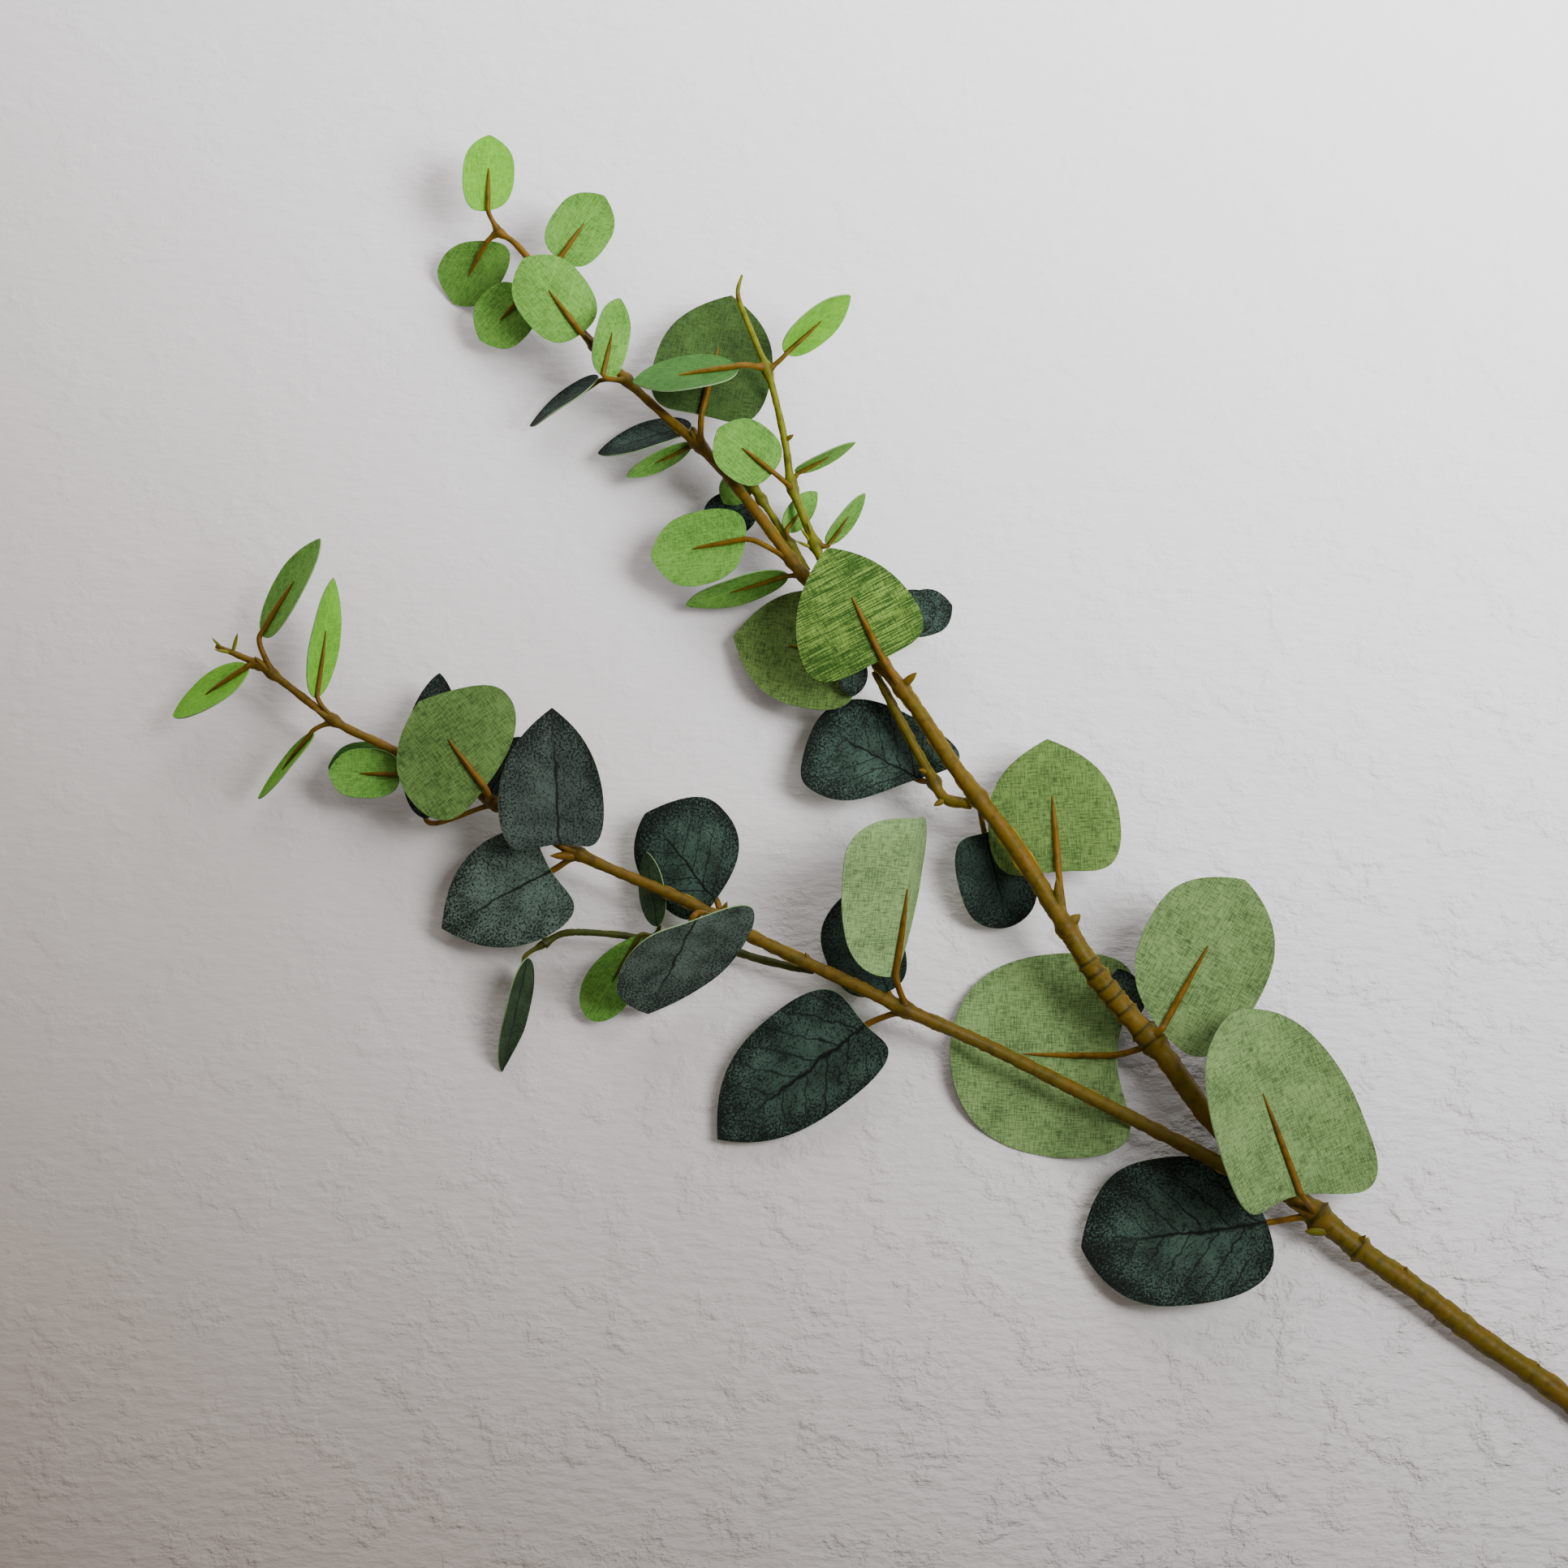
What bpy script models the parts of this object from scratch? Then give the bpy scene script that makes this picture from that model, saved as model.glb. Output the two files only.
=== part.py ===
"""An artificial silver dollar eucalyptus spray, laid on a table.

Cut fabric leaves are glued along moulded plastic midribs. The midribs, petioles, buds and collars
are moulded in one with the stem they grow from, and each side twig is pushed against the stem that
carries it. A steel wire lies in the lower part of the main stem.

The spray is laid out in millimetres on the table: x to the right, y away, z up. One empty then
turns the whole layout, so that the finished part runs along +Y from the cut butt to the tips.
"""
import bpy
import bmesh
from collections import namedtuple
from math import cos, radians, sin, sqrt
from mathutils import Vector

MM = 0.001

# Driving dimensions, in millimetres and degrees
BLADE_THICKNESS = 0.6
CLEARANCE = 0.3
PETIOLE_RADIUS = 0.85
SLENDER_PETIOLE = 0.55
FULL_PETIOLE_LEAF = 27.0
PETIOLE_FOOT = 1.25
MIDRIB_END_RADIUS = 0.3
ROUTE_STEP = 7.0
WIRE_RADIUS = 0.8
WIRE_LENGTH = 250.0
BORE_OVERRUN = 2.0
LAYOUT_TURN = -40.0
LAYOUT_SHIFT = (8.0, 79.8)

# Stem routes: x, y, z and the stem's radius there
ROUTES = {
    "main_stem": (
        (277, -225, 2.9, 2.9), (244, -194.5, 3.1, 2.9), (210, -165, 3.9, 2.85), (186.5, -148.5, 5, 2.85),
        (169.5, -135.5, 6.5, 2.8), (155, -125.5, 8, 2.8), (140, -113.5, 10, 2.75), (126, -102, 12, 2.7),
        (113.5, -89.5, 14, 2.65), (101.5, -73, 15.5, 2.6), (91, -61, 16.5, 2.55), (83, -51, 18.5, 2.5),
        (72.5, -34.5, 21, 2.3), (61, -16.5, 22, 2.2), (46.5, 3, 22, 2), (33, 23.5, 21.5, 1.8),
        (16, 44, 20, 1.65), (5, 57, 19.5, 1.5), (-8, 75, 19, 1.4), (-21, 91, 18, 1.3),
        (-32, 101, 17.5, 1.2), (-43, 111.5, 17.5, 1.1), (-57, 127, 18, 1), (-72, 148, 17, 0.85),
        (-79, 154, 16.5, 0.75),
    ),
    "left_branch": (
        (131, -110.5, 15, 1.9), (116, -102, 13.5, 1.85), (98, -92.5, 11.5, 1.8), (77.5, -82, 10.5, 1.75),
        (57.5, -72, 11.5, 1.7), (45, -66.5, 14, 1.7), (33, -61.5, 16, 1.7), (18.5, -54.5, 17, 1.65),
        (5.5, -48.5, 17, 1.6), (-9, -41.5, 17, 1.6), (-25.5, -32.5, 17, 1.5), (-52, -21, 17, 1.4),
        (-66, -13, 17, 1.4), (-79, -5, 17, 1.3), (-89, 1, 17, 1.2), (-109, 10.5, 17.5, 1.1),
        (-122, 17, 18, 1), (-140, 30.5, 19, 0.85), (-149, 35, 20, 0.75), (-154, 37, 20.5, 0.5),
    ),
    "upper_twig": (
        (13.4, 52.1, 20.4, 1.1), (11, 58, 20.8, 1.1), (8.4, 65, 21, 1.1), (5.5, 72, 21.5, 1.05), (2, 81.5, 22, 1),
        (0.5, 91.5, 24, 0.95), (-2, 103, 25, 0.9), (-4.5, 112, 26, 0.85), (-8.5, 122, 26, 0.75),
        (-12.5, 133, 25.5, 0.6), (-11.5, 139, 26, 0.3),
    ),
    "inner_twig": (
        (6.4, 58.4, 17.2, 0.95), (1.5, 66.2, 16, 0.95), (-2.6, 73, 16, 0.9), (-6.2, 78.6, 16, 0.85),
        (-9.1, 83, 16, 0.7),
    ),
    "ragged_twig": (
        (49, -5.5, 19.8, 1.3), (43.5, -4.5, 19, 1.35), (39.5, 2, 18.5, 1.2), (32.5, 15, 18.5, 1.15),
        (28, 24, 18, 1.1), (24.5, 30.5, 17.5, 0.8),
    ),
    "lower_twig": (
        (8, -50.5, 14.5, 1), (2.5, -49.5, 12, 1), (-7, -47, 9.5, 1), (-13.5, -45, 9, 1),
        (-22, -44, 8.5, 0.95), (-35.5, -42, 8.5, 0.9), (-45, -40.5, 9.5, 0.85), (-58.5, -40, 10.5, 0.85),
        (-65, -43, 10.8, 0.8),
    ),
}

# Outlines: where the blade is widest along its length, how pointed its base is, how full and how
# pointed its tip is, and how deep its base notch is
DISC = (0.45, 0.50, 2.0, 0.50, 0.16)
ROUND = (0.48, 0.50, 3.0, 0.85, 0.04)
HEART = (0.38, 0.50, 2.2, 0.60, 0.12)
DROP = (0.42, 0.50, 2.5, 1.00, 0.09)
WEDGE = (0.32, 0.40, 2.0, 0.90, 0.06)
OGIVE = (0.42, 0.50, 2.0, 1.00, 0.11)
BLUNT = (0.50, 0.50, 3.0, 0.55, 0.08)
SQUARE = (0.42, 0.32, 2.5, 0.90, 0.00)
OVAL = (0.46, 0.60, 2.2, 0.80, 0.02)
SPOON = (0.62, 1.00, 2.0, 0.55, 0.00)
PADDLE = (0.74, 0.42, 2.0, 0.38, 0.02)

# Leaves by stem. Each has the point where its petiole leaves the stem, the base and the tip of its
# blade, its width, its roll (0 with the printed face up, 180 with the underside up), how far its
# edges cup towards the printed face, the fold along its midrib, its bow, its outline, its lean, which
# is how far one side lies ahead of the other at the base, and its skew, how much wider that side is.
Leaf = namedtuple("Leaf", "joint base tip width roll cup fold bow outline lean skew", defaults=(0, 0))
LEAVES = {
    "main_stem": (
        Leaf((143, -116), (137, -111, 18.5), (118.5, -63.5, 33), 48.5, 155, -30, 0, 0, HEART, -0.3, 0.03),
        Leaf((143, -115.5), (129.5, -118, 9), (80, -124.5, 4), 40.5, 0, 18, 0, 0, ROUND, -0.22, -0.05),
        Leaf((99.5, -70.5), (90, -73, 7.3), (45, -71.5, 5), 56, 180, -8, 0, 8, DISC),
        Leaf((97.5, -69), (101, -67, 18), (123, -27.5, 27), 36, 180, -12, 0, 1, ROUND, -0.4, 0.04),
        Leaf((96, -67), (94, -63.5, 12.8), (90, -50, 12.5), 10, 0, 0, 0, 0, OVAL),
        Leaf((76, -39), (74, -24, 16), (71.5, 12.5, 14), 36, 180, 8, 0, -1, DROP),
        Leaf((52.5, -4.5), (54.5, -13, 12), (61, -38, 5), 21, 0, 10, 0, 0, BLUNT),
        Leaf((31.5, 25), (26.5, 32.5, 25), (11.5, 61.5, 33), 35, 180, 10, 0, -1, WEDGE, 0, -0.13),
        Leaf((26, 32), (21, 34.8, 15), (-14, 42.2, 6), 33, 180, -5, 0, 0, DROP),
        Leaf((17, 42), (31, 45, 16), (46, 49.5, 13), 13, 0, 8, 0, 0, ROUND),
        Leaf((14, 46), (28, 45, 20), (41.5, 47.5, 19), 13, 0, 8, 0, 0, ROUND),
        Leaf((17, 42.5), (18.5, 35, 18.5), (18.5, 23.5, 17.8), 8.5, 0, 8, 0, 0, OVAL),
        Leaf((5, 57), (1, 58, 16), (-27, 50.5, 7), 12, 240, -10, 0, 0, OVAL),
        Leaf((2, 61), (-10.5, 66.7, 19), (-36.5, 63.2, 13), 20.5, 180, 8, 0, 0, ROUND, -0.25),
        Leaf((-23, 93), (-22.5, 100.5, 23), (-14.5, 137, 12), 32.5, 180, -6, 0, 0, DROP),
        Leaf((-24, 94), (-25.5, 100, 13), (-51.5, 93.5, 7), 16, -50, 15, 0, 0, OVAL),
        Leaf((-24, 94), (-25.5, 94.5, 14), (-43.5, 86.5, 9), 8.5, 245, -10, 0, 0, OVAL),
        Leaf((-43, 111.5), (-50, 111.8, 22.5), (-45, 133, 24), 13, 132, -15, 0, 0, ROUND, -0.3),
        Leaf((-43, 111.5), (-51, 113, 15), (-70.5, 101.5, 6), 14, -60, 15, 0, 0, OVAL),
        Leaf((-52, 121.5), (-55.5, 123.5, 22), (-71.5, 144.5, 23), 20, 180, 12, 0, -1, ROUND),
        Leaf((-63, 136), (-71.2, 137, 14), (-84.4, 125.3, 8), 17, 180, -5, 0, 0, ROUND),
        Leaf((-63, 136), (-62.2, 146, 17), (-49.6, 163.2, 20), 17, 165, -10, 0, 0, ROUND),
        Leaf((-79, 154), (-82, 159.5, 18), (-81.5, 180.5, 20), 14.5, 165, -10, 0, 0, ROUND, 0.2),
        Leaf((-79, 154), (-82, 152, 14), (-92.5, 138, 0.3), 18, 180, -5, 0, 0, ROUND, 0.65),
    ),
    "left_branch": (
        Leaf((33, -61.5), (29, -53, 20.5), (35.5, -12, 34.5), 36, 128, 0, 26, 0, PADDLE, 0, -0.08),
        Leaf((33, -61.5), (28, -56, 10), (17.5, -28.5, 5.5), 21.5, 8, 0, 4, 0, ROUND, 0, 0.16),
        Leaf((32, -62), (22, -65, 11), (-18, -95.5, 3.5), 31, 0, 10, 0, -2, DROP, -0.1, -0.14),
        Leaf((-17, -37), (-23.5, -39, 35), (-37, -61.5, 5), 35, 48, 5, 0, 0, DROP, -0.4, 0.08),
        Leaf((-17, -37), (-18.5, -31.5, 14), (-37.7, -7.5, 11), 30, 15, -6, -4, 0, ROUND, -0.25, -0.14),
        Leaf((-56, -20), (-63, -23.5, 14), (-93, -38.5, 7), 31, 0, 8, 0, 0, OGIVE, -0.1),
        Leaf((-56, -20), (-60.3, -17.2, 21), (-62.5, 19.5, 24), 28.5, 0, 10, 0, 0, OGIVE, 0, 0.12),
        Leaf((-79, -5), (-80.5, -2, 22.3), (-98.5, 21.5, 22), 38, 180, 6, 0, 0, SQUARE, 0.3, 0.06),
        Leaf((-79, -5), (-80, -3, 14), (-71.5, 13.2, 13), 14, 20, 8, 0, 0, OVAL),
        Leaf((-78, -6), (-98, -8.5, 8.3), (-94, 31, 12), 15.5, 0, 5, 0, 0, OVAL),
        Leaf((-101, 6), (-104, 2.5, 15), (-124, 3.5, 12), 14, 180, -20, 0, 0, ROUND),
        Leaf((-100, 6), (-104.5, 5.5, 10), (-124.5, 5.5, 8), 14, 180, -15, 0, 0, ROUND),
        Leaf((-122, 17), (-127.2, 23, 19), (-122.2, 55.5, 22), 12, 122, -10, 0, 0, OVAL),
        Leaf((-122, 17), (-127.5, 13.5, 16), (-143.5, -3, 7), 13, 115, -10, 0, 0, OVAL),
        Leaf((-139, 30), (-141.2, 39.5, 21), (-125.3, 65.3, 27), 20, 234, -10, 0, 0, OVAL),
        Leaf((-143, 31.5), (-145, 31, 19), (-166.5, 19, 13), 18, 130, -10, 0, 0, OVAL),
    ),
    "upper_twig": (
        Leaf((-5, 113), (-12.5, 111.5, 30), (-41, 108, 30), 23, 128, -10, 0, 0, OVAL),
        Leaf((-4.5, 112), (0, 117, 27), (18, 132.5, 29), 14, 120, -10, 0, 0, OVAL),
        Leaf((2.5, 80), (-3, 83.5, 27), (-18, 95.5, 28), 17, 180, -5, 0, 0, ROUND),
        Leaf((2, 82), (3, 85, 21), (19.5, 92.5, 24), 8, 105, -10, 0, 0, OVAL),
        Leaf((6.5, 64), (11.5, 65, 21), (22, 78.5, 24), 9, 115, -10, 0, 0, OVAL),
    ),
    "inner_twig": (
        Leaf((1.5, 66.2), (0.1, 69.7, 17.9), (9.1, 81, 14), 8.5, 140, -5, 0, 0, OVAL),
        Leaf((-6, 78.5), (-8, 78, 12.5), (-22.6, 73, 7), 13, 0, 8, 0, 0, ROUND),
        Leaf((-8, 82), (-9.5, 87, 15.5), (-16.5, 78.5, 11), 9, 180, 0, 0, 0, ROUND),
    ),
    "ragged_twig": (
        Leaf((40.5, 0), (36.5, 1.6, 13.2), (8.5, 17.5, 9), 31, 0, 6, 0, 0, BLUNT, 0.95, 0.08),
    ),
    "lower_twig": (
        Leaf((-33, -42), (-38.5, -40.5, 13), (-53, -63, 4), 14, 180, -20, 0, 0, SPOON),
        Leaf((-65, -43), (-69.4, -47, 12), (-76.8, -77, 0.3), 11.5, 62, 10, 0, 0, OVAL),
        Leaf((-36, -42), (-34.2, -38.5, 12.3), (-37.5, -18, 11), 8.5, 35, 5, 0, 0, OVAL),
    ),
}
BROAD_LEAF = 20
BROAD_GRID = (8, 4)
SMALL_GRID = (5, 2)
LEAST_CUP = 1e-4

# How far along the way from stem to blade a petiole has its points, and where the midrib that
# follows has its own, from -1 at the base of the blade to 1 at its tip
PETIOLE_POINTS = (0, 0.35, 0.65, 0.85)
MIDRIB_POINTS = (-0.94, -0.6, -0.25, 0.1)

# Collars moulded round the main stem, and buds: stem, nearest point, direction, length and radius
COLLARS = (
    (82.5, -48.5), (84.8, -52), (87, -54.8), (89.2, -57.6), (91.5, -62), (96.5, -66.5), (99, -70.5),
    (143, -115.5), (154, -124.5),
)
BUDS = (
    ("main_stem", (202, -157), (0.3, 0.9, 0.5), 3.5, 0.9),
    ("main_stem", (166, -133), (0.2, 0.9, 0.5), 4, 0.8),
    ("main_stem", (153, -124), (0.6, 0.6, 0.6), 4.5, 0.9),
    ("main_stem", (147, -120), (-0.8, -0.5, 0.1), 8, 1.5),
    ("main_stem", (142, -116), (-0.9, 0.2, 0.3), 7, 1.2),
    ("main_stem", (76, -35), (-0.5, 0.8, 0.4), 6.5, 1.2),
    ("main_stem", (31, 25), (0.7, 0.6, 0.4), 6, 1.2),
    ("main_stem", (-23, 93), (-0.5, 0.8, 0.3), 5, 1),
    ("left_branch", (32, -62.5), (-0.9, 0.1, 0.3), 6.5, 1.1),
    ("left_branch", (-17, -36.5), (0.4, 0.9, 0.3), 5, 0.9),
    ("left_branch", (-56, -20), (-0.8, 0.5, 0.3), 6, 1),
    ("left_branch", (7, -49.5), (-0.4, 0.9, 0.2), 3.5, 0.8),
    ("left_branch", (-122, 17.5), (-0.9, 0.5, 0.2), 6, 0.9),
    ("left_branch", (-139, 31), (-0.7, 0.7, 0.3), 5.5, 0.9),
    ("left_branch", (-151, 36.5), (0.3, 0.9, 0.3), 5, 0.5),
    ("left_branch", (-152, 37), (-0.9, -0.3, 0.2), 4.5, 0.5),
    ("upper_twig", (-11, 131), (-0.3, 0.9, 0.2), 3.5, 0.5),
    ("upper_twig", (0.4, 93), (0.8, 0.5, 0.3), 3, 0.7),
    ("ragged_twig", (44, -4), (-0.8, -0.5, 0.2), 4, 0.9),
    ("ragged_twig", (38.7, 2.4), (-0.9, 0.2, 0.3), 3, 0.8),
)

# Collar profile: distance along the stem, and radius as a share of the stem's. Bud profile: both as
# shares of the bud's own length and radius.
COLLAR_PROFILE = ((-1.6, 0.9), (-0.9, 1.18), (0.5, 1.14), (1.3, 0.9))
BUD_PROFILE = ((0, 0.8), (0.45, 1), (0.75, 0.75), (1, 0.2))


def make_material(name, colour, roughness, metallic=0.0):
    material = bpy.data.materials.new(name)
    material.use_nodes = True
    shader = material.node_tree.nodes["Principled BSDF"]
    shader.inputs["Base Color"].default_value = (*colour, 1)
    shader.inputs["Roughness"].default_value = roughness
    shader.inputs["Metallic"].default_value = metallic
    return material


def smooth_route(route):
    """Points of a smooth curve through the route's own points, about one step apart, with radii."""
    knots = [Vector(point) for point in route]
    knots = [2 * knots[0] - knots[1], *knots, 2 * knots[-1] - knots[-2]]
    points = []
    for before, start, end, after in zip(knots, knots[1:], knots[2:], knots[3:]):
        pieces = max(1, round((end - start).length / ROUTE_STEP))
        for piece in range(pieces):
            t = piece / pieces
            bend = (2 * before - 5 * start + 4 * end - after) * t * t
            turn = (3 * start - before - 3 * end + after) * t * t * t
            points.append((2 * start + (end - before) * t + bend + turn) / 2)
    points.append(knots[-2])
    return points


def nearest_point(points, x, y):
    """The point of a stem's centre line that lies nearest to a place on the layout."""
    best = None
    for start, end in zip(points, points[1:]):
        run = (end - start).xy
        t = max(0, min(1, (Vector((x, y)) - start.xy).dot(run) / run.length_squared))
        point = start.lerp(end, t)
        gap = (point.xy - Vector((x, y))).length
        if best is None or gap < best[0]:
            best = (gap, point, (end - start).xyz.normalized())
    return best[1], best[2]


def add_tube(name, points, radii, resolution):
    """A round tube through points in millimetres, as a closed mesh."""
    curve = bpy.data.curves.new(name, "CURVE")
    curve.dimensions = "3D"
    curve.bevel_depth = MM
    curve.bevel_resolution = resolution
    curve.use_fill_caps = True
    spline = curve.splines.new("POLY")
    spline.points.add(len(points) - 1)
    for knot, point, radius in zip(spline.points, points, radii):
        knot.co = (*(MM * point), 1)
        knot.radius = radius
    guide = bpy.data.objects.new(name, curve)
    bpy.context.collection.objects.link(guide)
    bpy.context.view_layer.update()
    mesh = bpy.data.meshes.new_from_object(guide.evaluated_get(bpy.context.evaluated_depsgraph_get()))
    tube = bpy.data.objects.new(name, mesh)
    tube.matrix_world = guide.matrix_world
    bpy.data.objects.remove(guide, do_unlink=True)
    bpy.data.curves.remove(curve)
    tube.name = name
    shape = bmesh.new()
    shape.from_mesh(mesh)
    bmesh.ops.remove_doubles(shape, verts=shape.verts, dist=0.001 * MM)
    bmesh.ops.recalc_face_normals(shape, faces=shape.faces)
    shape.to_mesh(mesh)
    shape.free()
    return tube


def blade_axes(leaf):
    """Directions of a blade: from base to tip, across it, and out of its printed face."""
    along = Vector(leaf.tip) - Vector(leaf.base)
    length = along.length
    along.normalize()
    upright = (Vector((0, 0, 1)) - along * along.z).normalized()
    left = upright.cross(along)
    roll = radians(leaf.roll)
    face = upright * cos(roll) + left * sin(roll)
    return along, face.cross(along), face, length


def blade_point(leaf, x, y):
    """Where a point of the unit disc comes to lie on the blade, in millimetres: x runs from -1 at
    the base to 1 at the tip, y from -1 to 1 across."""
    along, side, face, length = blade_axes(leaf)
    widest, base_point, tip_fullness, tip_point, notch = leaf.outline
    half = leaf.width / 2
    run = (1 + x) / 2
    if run < widest:
        outline = max(0, 1 - (1 - run / widest) ** 2) ** base_point
    else:
        outline = max(0, 1 - ((run - widest) / (1 - widest)) ** tip_fullness) ** tip_point
    round_outline = sqrt(max(1e-6, 1 - x * x))
    across = y * outline / round_outline * (1 + leaf.skew * (1 if y > 0 else -1))
    run += notch * -4 * y * y * (1 - run) ** 2 + leaf.lean * across * half / length * (1 - run)
    fold = radians(leaf.fold)
    cup = radians(leaf.cup) or LEAST_CUP
    turned = fold + cup * abs(across)
    reach = half * (sin(turned) - sin(fold)) / cup
    rise = half * (cos(fold) - cos(turned)) / cup
    rise += leaf.bow * 4 * max(0, run) * (1 - run)
    point = Vector(leaf.base) + along * length * run + face * rise
    point += side * (reach if across > 0 else -reach)
    point.z = max(point.z, BLADE_THICKNESS / 2)
    return point


def add_blade(name, leaf, materials):
    """A cut fabric blade: a grid rounded to a disc, laid on the leaf's own surface and thickened."""
    columns, rows = BROAD_GRID if leaf.width > BROAD_LEAF else SMALL_GRID
    bpy.ops.mesh.primitive_grid_add(x_subdivisions=columns, y_subdivisions=rows, size=2)
    blade = bpy.context.object
    blade.name = name
    for vertex in blade.data.vertices:
        x, y = vertex.co.xy
        vertex.co = MM * blade_point(leaf, x * sqrt(1 - y * y / 2), y * sqrt(1 - x * x / 2))
    shape = bmesh.new()
    shape.from_mesh(blade.data)
    bmesh.ops.triangulate(shape, faces=shape.faces)
    shape.to_mesh(blade.data)
    shape.free()
    for material in materials:
        blade.data.materials.append(material)
    thickness = blade.modifiers.new("Thickness", "SOLIDIFY")
    thickness.thickness = BLADE_THICKNESS * MM
    thickness.offset = 0
    thickness.material_offset = 1
    blade.data.shade_smooth()
    return blade


def add_petiole(name, stem_points, leaf):
    """A petiole from the stem's centre line to the blade, and on along its underside as the midrib."""
    along, side, face, length = blade_axes(leaf)
    start, stem_direction = nearest_point(stem_points, *leaf.joint)
    fullness = min(1, leaf.width / FULL_PETIOLE_LEAF)
    radius = PETIOLE_RADIUS * (SLENDER_PETIOLE + (1 - SLENDER_PETIOLE) * fullness)
    midrib = []
    midrib_radii = []
    for number, station in enumerate(MIDRIB_POINTS):
        thickness = radius + (MIDRIB_END_RADIUS - radius) * number / (len(MIDRIB_POINTS) - 1)
        drop = BLADE_THICKNESS / 2 + CLEARANCE + thickness
        midrib.append(blade_point(leaf, station, 0) - face * drop)
        midrib_radii.append(thickness)
    start = start.xyz
    end = midrib[0]
    reach = (end - start).length
    leave = start + (end - start) * 0.35
    arrive = end - (midrib[1] - midrib[0]).normalized() * reach * 0.3 - face * radius
    points = []
    for t in PETIOLE_POINTS:
        near = start * (1 - t) ** 3 + leave * 3 * t * (1 - t) ** 2
        points.append(near + arrive * 3 * t * t * (1 - t) + end * t ** 3)
    petiole_radii = [radius * PETIOLE_FOOT] + [radius] * (len(PETIOLE_POINTS) - 1)
    return add_tube(name, points + midrib, petiole_radii + midrib_radii, 1)


def add_collar(name, stem_points, place):
    """A collar moulded round the stem."""
    point, direction = nearest_point(stem_points, *place)
    points = [point.xyz + direction * offset for offset, share in COLLAR_PROFILE]
    return add_tube(name, points, [point.w * share for offset, share in COLLAR_PROFILE], 2)


def add_bud(name, stem_points, place, direction, length, radius):
    """A pointed bud rooted in the stem."""
    start = nearest_point(stem_points, *place)[0].xyz
    way = Vector(direction).normalized()
    points = [start + way * length * run for run, share in BUD_PROFILE]
    return add_tube(name, points, [radius * share for run, share in BUD_PROFILE], 1)


def join(body, extras, operation):
    """One solid from a body and the pieces moulded to it, or bored in it."""
    group = bpy.data.collections.new(body.name + "_moulded")
    bpy.context.scene.collection.children.link(group)
    for extra in extras:
        group.objects.link(extra)
    union = body.modifiers.new("Moulded", "BOOLEAN")
    union.operation = operation
    union.operand_type = "COLLECTION"
    union.collection = group
    union.solver = "EXACT"
    bpy.context.view_layer.update()
    moulded = bpy.data.meshes.new_from_object(body.evaluated_get(bpy.context.evaluated_depsgraph_get()))
    body.modifiers.remove(union)
    body.data = moulded
    for extra in extras:
        bpy.data.objects.remove(extra, do_unlink=True)
    bpy.data.collections.remove(group)


def add_stem(name, material):
    """A moulded stem with the petioles, midribs, collars and buds that are part of it."""
    points = smooth_route(ROUTES[name])
    stem = add_tube(name, [point.xyz for point in points], [point.w for point in points], 2)
    spray.objects.link(stem)
    extras = [add_petiole(f"petiole_{number}", points, leaf) for number, leaf in enumerate(LEAVES[name])]
    if name == "main_stem":
        extras += [add_collar(f"collar_{number}", points, place) for number, place in enumerate(COLLARS)]
    for number, (carrier, place, direction, length, radius) in enumerate(BUDS):
        if carrier == name:
            extras.append(add_bud(f"bud_{number}", points, place, direction, length, radius))
    join(stem, extras, "UNION")
    stem.data.materials.clear()
    stem.data.materials.append(material)
    return stem, points


def add_wire(stem, stem_points, material):
    """The steel wire in the lower part of the main stem, and the bore that holds it."""
    run = int(WIRE_LENGTH / ROUTE_STEP)
    path = [point.xyz for point in stem_points[:run]]
    wire = add_tube("wire_core", path, [WIRE_RADIUS] * len(path), 1)
    wire.data.materials.append(material)
    spray.objects.link(wire)
    outside = path[0] + (path[0] - path[1]).normalized() * BORE_OVERRUN
    inside = path[-1] + (path[-1] - path[-2]).normalized() * CLEARANCE
    bore_path = [outside, *path, inside]
    bore = add_tube("wire_bore", bore_path, [WIRE_RADIUS + CLEARANCE] * len(bore_path), 1)
    join(stem, [bore], "DIFFERENCE")


for leftover in list(bpy.data.objects):
    bpy.data.objects.remove(leftover, do_unlink=True)
spray = bpy.data.collections.new("eucalyptus_spray")
bpy.context.scene.collection.children.link(spray)

stem_plastic = make_material("olive_brown_plastic", (0.20, 0.11, 0.01), 0.45)
wire_steel = make_material("steel_wire", (0.45, 0.45, 0.45), 0.35, 1.0)
printed_face = make_material("printed_blue_green_fabric", (0.035, 0.085, 0.075), 0.6)
underside = make_material("sage_green_fabric", (0.23, 0.38, 0.15), 0.7)

for stem_name, leaves in LEAVES.items():
    stem, stem_points = add_stem(stem_name, stem_plastic)
    if stem_name == "main_stem":
        add_wire(stem, stem_points, wire_steel)
    for number, leaf in enumerate(leaves, 1):
        blade = add_blade(f"{stem_name}_leaf_{number:02d}", leaf, (printed_face, underside))
        bpy.context.collection.objects.unlink(blade)
        spray.objects.link(blade)

layout = bpy.data.objects.new("table_layout", None)
layout.rotation_euler.z = radians(LAYOUT_TURN)
layout.location = (LAYOUT_SHIFT[0] * MM, LAYOUT_SHIFT[1] * MM, 0)
bpy.context.scene.collection.objects.link(layout)
for piece in spray.objects:
    piece.parent = layout
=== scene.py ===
import bpy
from collections import namedtuple
from math import atan, cos, exp, pi, radians, sin, sqrt, tan
from mathutils import Matrix, Vector, noise


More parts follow.
